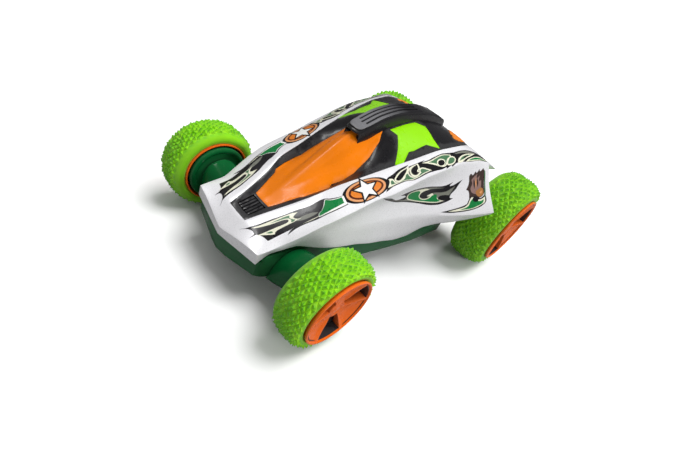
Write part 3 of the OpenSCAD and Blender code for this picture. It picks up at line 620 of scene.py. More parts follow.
# ---------- Panels in the canopy ----------

HOOD_HALF = [
    (0, -121.4), (7.5, -121.1), (10.9, -112.6), (14.2, -104.1), (16.1, -102.6), (17.8, -94), (18.9, -84.6),
    (17.9, -82), (19.4, -75), (19.6, -66), (17.2, -52.6), (13.5, -43.5), (9, -38.5), (0, -38),
]
WINDOW = [
    (32.2, -41.5), (25, -35.2), (16.5, -29.8), (10, -32.7), (10, -4), (16, 3.6), (29.5, 0), (38, 0),
    (31, -10.6), (31, -23.6), (30, -27.7), (34.2, -34.8),
]
VENT_HALF = [(0, -134.6), (6.6, -134.2), (7.4, -122.6), (0, -122.9)]
LAMP = [(17, 42.5), (25, 31), (31.5, 26.5), (35.5, 28.5), (36, 38), (33, 50), (26, 56), (19.5, 54)]
PANEL_GAP = 0.15


def mirrored(half):
    """The closed outline whose left half runs from front to back."""
    return list(half) + [(-x, y) for x, y in half[::-1] if x > 1e-6]


def resample(outline, step):
    """A closed outline with points no further than step apart."""
    points = []
    for a, b in zip(outline, outline[1:] + outline[:1]):
        a, b = np.array(a, float), np.array(b, float)
        count = max(1, int(math.ceil(np.linalg.norm(b - a) / step)))
        points += [tuple(a + (b - a) * k / count) for k in range(count)]
    return points


def shrunk(outline, gap):
    """A closed outline moved inwards by gap."""
    pts = np.array(outline, float)
    area = 0.5 * np.sum(pts[:, 0] * np.roll(pts[:, 1], -1) - np.roll(pts[:, 0], -1) * pts[:, 1])
    along = np.roll(pts, -1, 0) - np.roll(pts, 1, 0)
    along /= np.maximum(np.linalg.norm(along, axis=1, keepdims=True), 1e-9)
    normal = np.stack([-along[:, 1], along[:, 0]], -1) * (1 if area > 0 else -1)
    return [tuple(p) for p in pts + normal * gap]


def inside(points, outline):
    """Which of the points lie inside the closed outline."""
    x, y = points[:, 0], points[:, 1]
    result = np.zeros(len(points), bool)
    for (ax, ay), (bx, by) in zip(outline, outline[1:] + outline[:1]):
        crosses = (ay > y) != (by > y)
        if not crosses.any():
            continue
        at = ax + (y - ay) * (bx - ax) / (by - ay if by != ay else 1e-12)
        result ^= crosses & (x < at)
    return result


def clearance(points, start, end):
    """Distance from each point to the nearest of the segments between start and end."""
    best = np.full(len(points), 1e9)
    for a, b in zip(start, end):
        ab = b - a
        t = np.clip(((points - a) @ ab) / max(ab @ ab, 1e-12), 0, 1)
        best = np.minimum(best, np.linalg.norm(points - (a + t[:, None] * ab), axis=1))
    return best


def fill(outer, holes, step, creases=()):
    """Points and triangles that fill a closed outline, less its holes, with edges along the creases."""
    loops = [resample(loop, step) for loop in [outer, *holes]]
    pts, edges = [], []
    for loop in loops:
        start = len(pts)
        pts += loop
        edges += [(start + k, start + (k + 1) % len(loop)) for k in range(len(loop))]
    for crease in creases:
        start = len(pts)
        pts += crease
        edges += [(start + k, start + k + 1) for k in range(len(crease) - 1)]
    low, high = np.min(loops[0], 0), np.max(loops[0], 0)
    xs = np.arange(low[0] + 0.31 * step, high[0], step)
    ys = np.arange(low[1] + 0.37 * step, high[1], step * 0.87)
    inner = np.array([(x + (0.5 * step if k % 2 else 0), y) for k, y in enumerate(ys) for x in xs])
    if len(inner):
        keep = inside(inner, loops[0])
        for hole in loops[1:]:
            keep &= ~inside(inner, hole)
        inner = inner[keep]
    if len(inner):
        ends = np.array(pts)[np.array(edges)]
        inner = inner[clearance(inner, ends[:, 0], ends[:, 1]) > 0.55 * step]
        pts += [tuple(p) for p in inner]
    out = delaunay_2d_cdt([Vector(p) for p in pts], edges, [], 0, 1e-5)
    points, triangles = np.array([tuple(v) for v in out[0]]), out[2]
    centres = np.array([points[list(t)].mean(0) for t in triangles])
    keep = inside(centres, loops[0])
    for hole in loops[1:]:
        keep &= ~inside(centres, hole)
    return points, [tuple(t) for t, k in zip(triangles, keep) if k]


def panel(name, outer, holes, height, finish, node, step=2.6, thickness=SKIN, bevel=0.4, creases=()):
    """A panel of the canopy drawn in plan and laid on a height function."""
    points, triangles = fill(outer, holes, step, creases)
    z = height(points[:, 0], points[:, 1])
    build = Build().add(np.column_stack([points, z]), triangles)
    obj = build.piece(name, [finish], weld=0.005)
    if sum(p.normal.z for p in obj.data.polygons) < 0:
        obj.data.flip_normals()
    solid(obj, thickness, even=False)
    bake(obj)
    clean(obj)
    rounded(obj, bevel, 50)
    return settle(obj, node)


def canopy_outline():
    ys = np.array(spread(CANOPY_FRONT, CANOPY_BACK, 4))
    xs = body_point("edge", ys)[:, 0] - PANEL_GAP
    half = [(x, y) for x, y in zip(xs, ys)]
    half[0] = (half[0][0], CANOPY_FRONT + PANEL_GAP)
    half[-1] = (half[-1][0], CANOPY_BACK - PANEL_GAP)
    return half + [(-x, y) for x, y in half[::-1]]


def smoothstep(t):
    t = np.clip(t, 0, 1)
    return t * t * (3 - 2 * t)


# y, then the half widths of the tongue's crest, of its foot and of the shelf beside it
HOOD_LINES = np.array([
    [-113, 0.6, 1.2, 2.4], [-104, 2.4, 4.4, 8], [-96, 3.4, 6, 10.4], [-85, 4.7, 7.5, 12.8],
    [-74, 5.7, 8.8, 14.6], [-65, 6.4, 9.6, 15], [-56, 6.8, 10, 14], [-44, 7, 10, 12.5],
])
TONGUE_RISE, FOOT_DROP, SHELF_RISE = 2.5, -0.4, 0.6


def hood_height(x, y):
    """The hood's surface: a raised tongue with steep flanks grows towards the scoop, between two shelves."""
    x, y = np.asarray(x), np.asarray(y)
    across = np.abs(x)
    crest, foot, shelf = (np.interp(y, HOOD_LINES[:, 0], HOOD_LINES[:, k]) for k in (1, 2, 3))
    flank = np.clip((across - crest) / (foot - crest), 0, 1)
    bank = np.clip((across - foot) / (shelf - foot), 0, 1)
    fall = np.clip((across - shelf) / 5, 0, 1)
    raised = TONGUE_RISE + (FOOT_DROP - TONGUE_RISE) * flank
    raised = raised + (SHELF_RISE - FOOT_DROP) * bank - SHELF_RISE * fall
    return canopy_height(x, y) + raised * smoothstep((y + 113) / 40) - 0.2


def hood_creases():
    """The tongue's crests and feet and the shelves' outer edges, on both sides."""
    lines = []
    for column, last in ((1, -40), (2, -42), (3, -58)):
        ys = np.arange(HOOD_LINES[0, 0], last, 2.0)
        xs = np.interp(ys, HOOD_LINES[:, 0], HOOD_LINES[:, column])
        lines += [[(side * x, y) for x, y in zip(xs, ys)] for side in (1, -1)]
    return lines


def window_height(x, y):
    return canopy_height(x, y) - 0.25


def canopy():
    window_right = [(-x, y) for x, y in WINDOW]
    lamp_right = [(-x, y) for x, y in LAMP]
    holes = [mirrored(HOOD_HALF), mirrored(VENT_HALF), WINDOW, window_right, LAMP, lamp_right]
    panel(
        "canopy_frame_look", canopy_outline(), holes, canopy_height, "black_plastic", "canopy_frame",
        bevel=0.5
    )
    hood = shrunk(mirrored(HOOD_HALF), PANEL_GAP)
    panel(
        "hood_panel_look", hood, [], hood_height, "hood_orange", "hood_panel", 1.6, creases=hood_creases()
    )
    for side, outline in (("left", WINDOW), ("right", window_right)):
        panel(
            f"window_{side}_look", shrunk(outline, PANEL_GAP), [], window_height, "window_lime",
            f"window_{side}"
        )


def slab(build, outline, height_low, height_high):
    """A closed block over a plan outline between two height functions."""
    points, triangles = fill(outline, [], 2.0)
    x, y = points[:, 0], points[:, 1]
    count = len(points)
    verts = np.vstack(
        [np.column_stack([points, height_high(x, y)]), np.column_stack([points, height_low(x, y)])]
    )
    faces = []
    edge_use = {}
    for t in triangles:
        a, b, c = t
        if (points[b] - points[a])[0] * (points[c] - points[a])[1] - (points[b] - points[a])[1] * (
            points[c] - points[a]
        )[0] < 0:
            t = (a, c, b)
        faces += [t, tuple(count + i for i in t[::-1])]
        for p, q in ((t[0], t[1]), (t[1], t[2]), (t[2], t[0])):
            edge_use[(p, q)] = True
    for p, q in list(edge_use):
        if (q, p) not in edge_use:
            faces.append((q, p, count + p, count + q))
    build.add(verts, faces)


def nose_vent():
    """A sunken plate with raised lengthwise slats."""
    build = Build()
    plate = shrunk(mirrored(VENT_HALF), PANEL_GAP)
    slab(build, plate, lambda x, y: canopy_height(x, y) - 2, lambda x, y: canopy_height(x, y) - 1.3)
    slats = 5
    pitch = 2.5
    for k in range(slats):
        x = (k - (slats - 1) / 2) * pitch
        bar = [(x - 0.7, -133.8), (x + 0.7, -133.8), (x + 0.75, -123.4), (x - 0.75, -123.4)]
        slab(build, bar, lambda x, y: canopy_height(x, y) - 1.8, lambda x, y: canopy_height(x, y) + 0.15)
    obj = build.piece("nose_vent_look", ["black_plastic"])
    rounded(obj, 0.25, 50)
    settle(obj, "nose_vent")


def tail_lamps():
    """Orange lenses with cross ribs."""

    def lens(x, y):
        return canopy_height(x, y) + 0.25 + 0.22 * np.cos(2 * math.pi * np.asarray(y) / 3.2)

    build = Build()
    for side in (1, -1):
        outline = shrunk([(side * x, y) for x, y in LAMP], PANEL_GAP)
        points, triangles = fill(outline, [], 0.8)
        slab_points = np.column_stack([points, lens(points[:, 0], points[:, 1])])
        build.add(slab_points, triangles)
    obj = build.piece("tail_lamps_look", ["lamp_orange"], weld=0.002)
    for polygon in obj.data.polygons:
        if polygon.normal.z < 0:
            polygon.flip()
    solid(obj, 2.0, even=False)
    bake(obj)
    clean(obj)
    shade(obj, 45)
    settle(obj, "tail_lamps")


# ---------- Roof scoop ----------

# y, half width at the canopy, half width on top, height of the top
SCOOP = np.array([
    [-63.2, 8, 6.6, 104.6], [-50, 8.7, 7.1, 111.2], [-38.4, 9.3, 7.5, 116.3], [-16.9, 10, 8, 120.8],
    [10.5, 10.3, 8.2, 121.7], [32, 10, 7.7, 119.4], [48.2, 9.4, 7, 115],
])
MOUTH_END = -44.0
# The nose's corners lie NOSE_SWEEP further back than its middle; the sweep fades out at NOSE_END
NOSE_SWEEP, NOSE_END, NOSE_FADE = 4.5, -50, 13
SCOOP_WALL, SCOOP_ROOT, MOUTH_FLOOR = 1.3, 6.5, 0.5
PLATE_END = 8.0
PLATE_T = 0.8


def scoop_value(column, y):
    return smooth_curve(SCOOP[:, 0], SCOOP[:, column], y)


def scoop_ring(y, inset, low):
    """One cross-section of the scoop, with rounded top corners, moved in by inset."""
    base, top, z = (float(scoop_value(c, [y])[0]) for c in (1, 2, 3))
    base, top, z = base - inset, top - inset, z - inset
    corner = 1.6
    outline = rounded_outline(
        [(-base, low, 0), (-top, z, corner), (top, z, corner), (base, low, 0)], corner, 4
    )
    swell = NOSE_SWEEP * min(max((NOSE_END - y) / NOSE_FADE, 0), 1)
    return [(x, y + swell * (x / base) ** 2, h) for x, h in outline]


def roof_scoop():
    ys = spread(float(SCOOP[0, 0]), MOUTH_END, 2.4) + spread(MOUTH_END, float(SCOOP[-1, 0]), 4)[1:]
    build = Build()
    outer = [scoop_ring(y, 0, float(canopy_height([0], [y])[0]) - SCOOP_ROOT) for y in ys]
    inner_ys = [y for y in ys if y <= MOUTH_END + 0.1]
    inner = [scoop_ring(y, SCOOP_WALL, float(hood_height([0], [y])[0]) + MOUTH_FLOOR) for y in inner_ys]
    columns = len(outer[0])
    verts = [p for ring in outer for p in ring]
    faces = grid_faces(len(outer), columns, closed=True)
    last = (len(outer) - 1) * columns
    faces.append(tuple(last + k for k in range(columns)))
    start = len(verts)
    verts += [p for ring in inner for p in ring]
    faces += [tuple(start + i for i in f[::-1]) for f in grid_faces(len(inner), columns, closed=True)]
    end = start + (len(inner) - 1) * columns
    faces.append(tuple(end + k for k in range(columns))[::-1])
    for k in range(columns):
        n = (k + 1) % columns
        faces.append((n, k, start + k, start + n))
    build.add(verts, faces)
    obj = build.piece("roof_scoop_look", ["black_plastic"], weld=0.002)
    rounded(obj, 0.35, 42)
    settle(obj, "roof_scoop")


def scoop_plate():
    """The slotted plate on the scoop: four long bars joined at both ends, over dark slots."""

    def top(x, y):
        return smooth_curve(SCOOP[:, 0], SCOOP[:, 3], y) + PLATE_T - 0.035 * np.asarray(x) ** 2 * 0.35

    slot_half, pitch = 0.85, 3.5
    front, slots_from, slots_to = -60.8, -54.5, 2.0
    half = float(scoop_value(2, [-40])[0]) - 0.9
    outer = [
        (-half + 0.8, front, 4), (half - 0.8, front, 4), (half, -50), (half, PLATE_END), (-half, PLATE_END),
        (-half, -50),
    ]
    holes = []
    for k in (-1, 0, 1):
        x = k * pitch
        start = slots_from + 1.2 * abs(k)
        hole = [
            (x - slot_half, start), (x + slot_half, start), (x + slot_half, slots_to),
            (x - slot_half, slots_to)
        ]
        holes.append(rounded_outline(hole, 0.6, 3))
    points, triangles = fill(rounded_outline(outer, 1.5, 4), holes, 1.8)
    x, y = points[:, 0], points[:, 1]
    build = Build().add(np.column_stack([points, top(x, y)]), triangles)
    obj = build.piece("scoop_plate_look", ["scoop_grey"], weld=0.002)
    if sum(p.normal.z for p in obj.data.polygons) < 0:
        obj.data.flip_normals()
    solid(obj, PLATE_T)
    bake(obj)
    clean(obj)
    rounded(obj, 0.2, 50)
    settle(obj, "scoop_plate")


# ---------- Decals ----------

# Outlines are (y, s) in millimetres: y along the car, and s down the surface, from the canopy's edge on
# the band and from the crease on the side. A third value marks a sharp tip.
BAND_ACROSS, SIDE_ACROSS = 20.0, 15.0
DECAL_LIFT, DECAL_LAYER, DECAL_T = 0.1, 0.06, 0.3


def oval(centre, radii, count=28):
    turn = [2 * math.pi * k / count for k in range(count)]
    return [(centre[0] + radii[0] * math.cos(a), centre[1] + radii[1] * math.sin(a)) for a in turn]


def star(centre, reach, waist):
    """A five-pointed star."""
    points = []
    for k in range(10):
        a = math.pi * k / 5
        r = waist if k % 2 else reach
        points.append((centre[0] + r * math.sin(a), centre[1] - r * math.cos(a), 1))
    return points


EMBLEM = (-69.0, 10.0)
FRONT_FLAME = [
    ("black", 0, [
        (-143.5, 2, 1), (-140, 4.2), (-134, 5), (-125, 5), (-116.8, 5), (-111, 4.9), (-107, 5.4),
        (-103, 5.4), (-99, 4.6), (-95.4, 4.8), (-92.7, 6.2), (-88.2, 7.4), (-84.3, 7.8, 1),
        (-84.8, 14.4, 1), (-92.4, 14.6), (-99.5, 14.6), (-106, 15), (-112, 14.6), (-117.5, 14.8),
        (-122.9, 16.2, 1), (-120, 14.4), (-117.2, 13.8, 1), (-122.2, 14.3), (-128, 14.8), (-134.8, 15.2, 1),
        (-136.2, 12), (-138.2, 10.2), (-143, 9.4, 1), (-139.6, 9), (-138.9, 7.6), (-139.6, 5.6),
        (-140.6, 4.4),
    ]),
    ("cream", 1, [
        (-138.4, 5.7, 1), (-134, 6), (-125, 5.8), (-116, 5.7), (-111.5, 6.4, 1), (-114.3, 7.6),
        (-115.2, 8.6), (-114.2, 9.8), (-111.8, 10.6, 1), (-118.6, 11.1), (-124.6, 11.7), (-127.6, 12.4),
        (-128.4, 13.4, 1), (-131, 12.8), (-138.5, 10.6, 1), (-130, 10.4), (-124, 10.2), (-119.4, 9.9),
        (-118.2, 9), (-118.8, 8.2), (-121, 7.7), (-128, 7.6), (-136, 6.6),
    ]),
    ("moss", 2, [
        (-127.5, 6.9, 1), (-122, 6.5), (-116.5, 6.5), (-117, 7.8), (-116.4, 8.9), (-114.8, 10.2, 1),
        (-117.4, 10.6), (-116.9, 9.2), (-118, 7.7), (-122.5, 7.2),
    ]),
    ("moss", 2, [(-133, 11.1, 1), (-129.4, 11.3), (-129, 12.1), (-131, 12)]),
    ("white", 1, [
        (-95.7, 5.5), (-93, 6.9), (-88.3, 7.9), (-84.5, 8.1, 1), (-85, 13.9, 1), (-92, 14), (-99, 14.1),
        (-104, 14.2, 1), (-103, 12.4), (-100.6, 11), (-98.4, 8.8), (-96.8, 6.6),
    ]),
    ("green", 2, [
        (-95.7, 5.9), (-93, 7.4), (-88.4, 8.3), (-86, 8.5, 1), (-86.6, 12.5, 1), (-92, 12.8), (-98.5, 13.3),
        (-103.4, 13.8, 1), (-102.7, 12.4), (-100.3, 11), (-98.2, 9), (-96.6, 7),
    ]),
    (
        "grey", 1,
        [(-102.4, 11.4, 1), (-106, 10), (-111.5, 9.9), (-115.5, 10.9, 1), (-112, 12), (-106.5, 12.1)]
    ),
    ("cream", 1, [(-113, 13.9, 1), (-107, 13.7), (-101.5, 13.4, 1), (-107, 14.1)]),
]
EMBLEM_RINGS = [
    ("black", 0, oval(EMBLEM, (16.6, 8.0))), ("tan", 1, oval(EMBLEM, (14.2, 7.4))),
    ("brown", 2, oval(EMBLEM, (12.5, 5.9))), ("orange", 3, oval(EMBLEM, (11, 4.7))),
    ("black", 4, star(EMBLEM, 10.3, 4.9)), ("white", 5, star(EMBLEM, 8.0, 3.6)),
]
REAR_FLAME = [
    ("black", 0, [
        (-57.4, 16.9, 1), (-52.6, 10.8), (-52.4, 7.8), (-47.1, 6.4), (-41.2, 4.3), (-32.6, 3.4, 1),
        (-36, 5.3, 1), (-31.5, 5), (-27.7, 5), (-19, 4.6, 1), (-22, 5.8, 1), (-15.7, 5.9), (-9.2, 4.9),
        (-1.5, 4.4), (10.1, 6.2), (19.6, 5.9), (29.6, 7), (39.6, 9.8), (48, 13.6), (53.6, 17.2, 1),
        (46.8, 18.6), (36, 19.2), (27, 19.9), (22, 19.6), (14.5, 18), (9, 17.8), (6.5, 18.6),
        (2.6, 19.6, 1), (3.4, 18.3), (0, 18.6), (-3.9, 19.6, 1), (-2.8, 18.2), (-8, 18.4), (-15.4, 17.4),
        (-21.9, 17), (-29, 17.4), (-34.1, 17.2), (-40.4, 15.2), (-46.4, 14.9), (-51.3, 15),
    ]),
    ("cream", 1, [
        (-54.8, 14.5, 1), (-51.8, 10.8), (-51.4, 8.6, 1), (-48.8, 9.4), (-47.8, 12.4), (-45.5, 13.7),
        (-41.6, 12.4), (-37.6, 9), (-33.2, 6.2), (-28, 5.5, 1), (-34.6, 8.4), (-35.8, 11.6), (-34, 14.2),
        (-31, 14.9), (-27.8, 13.2), (-27.4, 10.8), (-24.5, 10.2), (-21.5, 12.3), (-17.6, 15.8, 1),
        (-24.5, 16), (-30.5, 16.6), (-35.2, 16.4), (-40.5, 14.6), (-46.5, 14.1), (-51, 14.3),
    ]),
    ("moss", 2, [(-51.6, 13.2, 1), (-50.9, 10.9), (-49.4, 10.5), (-48.8, 12.7), (-47.2, 13.6, 1)]),
    ("moss", 2, [
        (-44.8, 14, 1), (-40.6, 13.1), (-37.2, 10.2), (-36.4, 13), (-34.6, 15), (-31, 15.7), (-27.3, 14.2),
        (-26.5, 12), (-24.8, 11.3), (-22.1, 13.2), (-19.8, 15.2, 1), (-24.8, 15.3), (-30.6, 15.9),
        (-35.6, 15.7), (-40.6, 14.2),
    ]),
    (
        "cream", 3,
        [
            (-47.9, 11.4), (-45.8, 8.7), (-40.8, 6.2), (-32.8, 4.7, 1), (-36.2, 8.8), (-40.6, 12),
            (-44.8, 13.7)
        ]
    ),
    (
        "black", 4,
        [
            (-46.7, 11.3), (-45, 9.5), (-40.5, 7.1), (-35.2, 5.9, 1), (-37.2, 8.5), (-41.2, 11.3),
            (-44.7, 12.7)
        ]
    ),
    ("cream", 3, [
        (-34, 8), (-31.2, 6.1), (-25.8, 5.4, 1), (-26.4, 10), (-28.2, 11.8), (-26.6, 14, 1), (-31, 15.3),
        (-34.4, 13.6), (-35, 10.6),
    ]),
    ("black", 4, [
        (-32.8, 8.4), (-30.6, 7), (-27, 6.2, 1), (-27.6, 9.8), (-29.6, 11.6), (-28.2, 13.4, 1), (-31, 14.3),
        (-33.2, 13), (-33.8, 10.6),
    ]),
    ("cream", 1, [
        (-22.6, 6.5, 1), (-15.5, 7), (-9, 6), (-3, 5.3), (3.5, 6.9), (6.2, 8.6), (1, 11.8), (-2.6, 16.4),
        (-6, 16.8), (-9.5, 15.2), (-14, 11.8), (-18, 9),
    ]),
    ("moss", 2, [
        (-17.4, 8.1, 1), (-13.5, 7.9), (-9, 7), (-3, 6.3), (3, 7.6), (4.8, 8.9), (0.2, 11.4), (-3, 15.2),
        (-5.6, 15.6), (-9, 13.8), (-13, 10.6),
    ]),
    ("cream", 3, oval((-6.6, 12.4), (4.3, 3.6), 16)),
    ("black", 4, oval((-6.6, 12.6), (3.3, 2.7), 16)),
    ("cream", 1, [(-1.7, 15.6), (0.5, 12.5), (4, 9.4), (8.6, 10.6), (9.8, 14), (6.4, 17.2), (1, 17.6)]),
    ("moss", 2, [(-0.2, 15.4), (1.7, 12.6), (4.3, 10.7), (7.6, 11.6), (8.5, 13.8), (6, 16.1), (1.6, 16.3)]),
    ("cream", 1, [
        (11, 18.2, 1), (12.8, 14.6), (17.4, 12.2), (25, 11), (37.4, 11.7, 1), (28.5, 14.4), (21, 16.4),
        (16, 18.6),
    ]),
    ("moss", 2, [(13.6, 16.6, 1), (17.8, 13.5), (25, 12.3), (32, 12.5, 1), (25, 14), (19, 15.8)]),
    ("black", 3, [(18, 15.2, 1), (22, 13.2), (27, 13.2, 1), (22, 14.8)]),
    (
        "cream", 1,
        [
            (20, 19.2, 1), (25, 16.9), (33, 15.2), (40, 15), (46, 16.4), (50.5, 17.4, 1), (44, 18.2),
            (34, 19), (27, 19.4)
        ]
    ),
    (
        "green", 2,
        [(24, 18.6, 1), (29, 16.8), (36, 15.9), (42, 16.5), (47, 18.4, 1), (38, 17.8), (30, 18.3)]
    ),
    ("grey", 1, [(10, 8.2, 1), (18, 6.9), (26, 7.5), (33, 9.2), (39.5, 12, 1), (30, 10.4), (20, 9.3)]),
]
SIDE_FLAME = [
    ("black", 0, [
        (-61, 0.6, 1), (-51, 8), (-44, 14.4), (-37.4, 15.3), (-34.6, 14.4), (-41, 10.9, 1), (-34.5, 10.4),
        (-25.8, 11), (-13.5, 12.8), (-0.3, 14.8), (6, 14.8), (12, 13.6, 1), (9.2, 16), (12.1, 15.8),
        (21.4, 13, 1), (18, 15.8), (15.7, 17.9), (10.6, 21.2), (13.8, 22.1, 1), (8.3, 23.4), (0.3, 24.5),
        (-9, 24.1), (-17.1, 22.7), (-25.5, 21), (-35, 18.7), (-44, 16.2), (-53, 10),
    ]),
    ("grey", 1, [
        (-55, 7, 1), (-46, 13.6), (-37, 16.9), (-32.6, 16.4), (-33.6, 13.6), (-31.4, 11.8), (-21.5, 12.4),
        (-7.5, 14.4), (2, 15.9), (8.4, 16.4, 1), (8.8, 17.6), (15, 16.2, 1), (10, 20.2), (6, 22.7),
        (-1.5, 23.6), (-15.5, 22.1), (-31, 18.9), (-44, 15.2),
    ]),
    ("cream", 2, [
        (-32.6, 16.8), (-32.8, 13.2), (-28, 12.1), (-21, 12.9), (-12, 14.8), (-4, 20), (5, 22.9, 1),
        (-2, 23.4), (-9, 22.9), (-20.5, 21.1), (-28, 19),
    ]),
    ("green", 3, [
        (-31.6, 16.6), (-31.9, 13.5), (-28, 12.8), (-22.5, 13.6), (-20.4, 15), (-20.8, 17.4), (-18.6, 19.7),
        (-14, 20.9), (-9, 20.4), (-6.6, 19.3), (-2.6, 19.2), (-2, 21), (0.2, 22.3), (2.6, 22.7, 1),
        (-2, 23), (-9, 22.4), (-20.5, 20.5), (-28, 18.4),
    ]),
    ("black", 4, [
        (-19.8, 17.6), (-17, 15.4), (-7, 15.4), (3, 16.2), (12.8, 15.6, 1), (9, 17.8), (2, 18.4),
        (-6, 17.8), (-10.8, 18.5), (-12.2, 19), (-9.2, 19.6, 1), (-12, 20.3), (-16.8, 19.8),
    ]),
    ("black", 4, [(-0.6, 21.3), (2.5, 20.1), (10.6, 20.5, 1), (8.8, 22), (5, 22.6), (1.6, 22.3)]),
]
FENDER_PATCH = [
    ("umber", 0, [
        (28, 11), (29.6, 9.4), (31.6, 10.4), (34, 7.6, 1), (35.4, 8.6), (38, 5.6, 1), (39, 7),
        (42.6, 4.2, 1), (44, 6), (43.9, 16), (43.6, 19.8), (38.6, 22.4), (34, 21.8), (29.4, 22.6, 1),
        (28.8, 19.6), (26.2, 18.6, 1), (28, 16.4), (28.4, 14),
    ]),
    ("mauve", 1, [
        (30.6, 13.6, 1), (33, 11.4), (36.2, 9.2, 1), (36, 12), (39, 10.2, 1), (38.6, 13.6), (40.8, 13, 1),
        (40.6, 17), (38.4, 19.8), (33.6, 20.6), (30.2, 18.6), (31.6, 15.8),
    ]),
    ("ochre", 2, [(35.2, 20), (37.6, 18.4), (41.2, 17.2), (43, 18.4), (42.4, 20.4), (38.6, 21.8)]),
    ("umber", 2, [(32.8, 13, 1), (34.4, 15.4), (34, 18.4, 1), (32.8, 15.8)]),
    ("umber", 2, [(36.4, 11.8, 1), (37.8, 14.6), (37.2, 17.4, 1), (36, 14.8)]),
    ("tan", 3, [(34.8, 12, 1), (35.8, 15), (35.4, 18, 1), (34.6, 15)]),
    ("tan", 3, [(38.8, 19.8, 1), (41.4, 18.6, 1), (40.6, 20.2)]),
    ("moss", 1, [(44, 5.2, 1), (45.2, 6.4), (45.4, 14), (45, 20.4), (43.8, 22, 1), (44.3, 14)]),
    ("black", 0, [
        (3.8, 28.4, 1), (12.7, 27.3), (21.5, 26.2), (27.3, 25), (28.7, 23.6), (31.2, 21.4), (36.2, 22),
        (39.9, 22.4), (44.8, 20.2, 1), (45.2, 23.4), (41.8, 25.6), (36.1, 27.1), (28.9, 28), (18, 28.6),
        (11.4, 28.7),
    ]),
    ("cream", 1, [
        (10, 28.1, 1), (18, 27.2), (25, 26.3), (28.4, 25), (29.6, 23.6), (31.8, 22.1), (36, 22.8), (40, 23),
        (44.2, 21.4, 1), (43.8, 24), (40.8, 25.3), (35.6, 26.7), (28.5, 27.5), (18, 28.1),
    ]),
    ("green", 2, [
        (21, 27.5, 1), (28.6, 26), (30.6, 24), (32.6, 22.9), (36, 23.6), (40, 23.7), (43, 22.8, 1),
        (41.8, 24.5), (38.6, 25.6), (32, 26.9),
    ]),
    ("black", 3, oval((35.2, 23), (2.6, 1.2), 14)),
]


def flowing(points, steps=4):
    """A closed curve through the points, smooth except at the sharp tips."""
    count = len(points)
    at = [np.array(p[:2], float) for p in points]
    sharp = [len(p) > 2 for p in points]
    curve = []
    for i in range(count):
        a, b = at[i], at[(i + 1) % count]
        reach = np.linalg.norm(b - a)
        ends = []
        for k in (i, (i + 1) % count):
            way = (b - a) if sharp[k] else at[(k + 1) % count] - at[k - 1]
            ends.append(way / max(np.linalg.norm(way), 1e-9) * reach)
        for k in range(steps):
            t = k / steps
            point = (2 * t**3 - 3 * t**2 + 1) * a + (t**3 - 2 * t**2 + t) * ends[0]
            point += (3 * t**2 - 2 * t**3) * b + (t**3 - t**2) * ends[1]
            curve.append(tuple(point))
    return curve


def on_surface(surface, across, points, lift):
    """Points (y, s) laid on the band or the side and lifted off it along its normal."""
    y, t = points[:, 0], points[:, 1] / across
    here = surface(y, t)
    along = here - surface(y - 0.1, t)
    down = surface(y, t + 0.005) - here
    normal = np.cross(along, down)
    normal /= np.linalg.norm(normal, axis=1, keepdims=True)
    normal *= np.where(normal[:, 0] + normal[:, 2] > 0, 1, -1)[:, None]
    return here + normal * lift


def decals():
    """The printed flames, the emblem with its star and the fender's patch, one piece per colour and side."""
    builds = {key: Build() for key in DECAL_COLOURS}
    groups = [(FRONT_FLAME + EMBLEM_RINGS + REAR_FLAME, band_points, BAND_ACROSS)]
    groups.append((SIDE_FLAME + FENDER_PATCH, side_points, SIDE_ACROSS))
    for shapes, surface, across in groups:
        for colour, layer, outline in shapes:
            points, triangles = fill(flowing(outline), [], 1.5)
            verts = on_surface(surface, across, points, DECAL_LIFT + layer * DECAL_LAYER)
            builds[colour].add(verts, triangles)
    for colour, build in builds.items():
        for side_name, side in (("left", 1), ("right", -1)):
            obj = build.piece(f"decal_{colour}_{side_name}", [f"decal_{colour}"], side)
            for polygon in obj.data.polygons:
                if polygon.normal.x * side + polygon.normal.z < 0:
                    polygon.flip()
            solid(obj, DECAL_T, even=False)
            bake(obj)
            shade(obj, 45)
            settle(obj, (), "chassis")


# ---------- Wheels ----------


def box_mm(node):
    low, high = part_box(node)
    return np.array(low) * 1000, np.array(high) * 1000


# What the boxes of a wheel's nodes don't give: the tyre's seat and the rim's wall, the lip, the hub with its
# inner and outer end, its bore, and the wall of the centre cap
WHEEL_SIZES = {
    "front": dict(seat=24, wall=1.1, lip_r=25.1, hub_r=6.2, hub_in=-9.2, hub_out=8, bore=4.2, cap_wall=0.9),
    "rear": dict(seat=33.2, wall=1.4, lip_r=34.5, hub_r=8, hub_in=-18, hub_out=12.6, bore=2.5, cap_wall=1.2),
}
LIP_OUT = 2.0
# The tread: height of a pyramid, pyramids around and across, and the radius where it ends on each side
TREAD = {
    "front": dict(height=1.7, around=36, rows=14, ring_out=27.6, ring_in=31.0),
    "rear": dict(height=2.1, around=42, rows=15, ring_out=38.5, ring_in=44.5),
}
SPOKES = 3
# Half a spoke's width in degrees at the hub and what it gains outwards, its edge's height and its hollow
SPOKE_HALF, SPOKE_GAIN, SPOKE_ROLL, SPOKE_HOLLOW = 31, 5, 0.9, 1.0


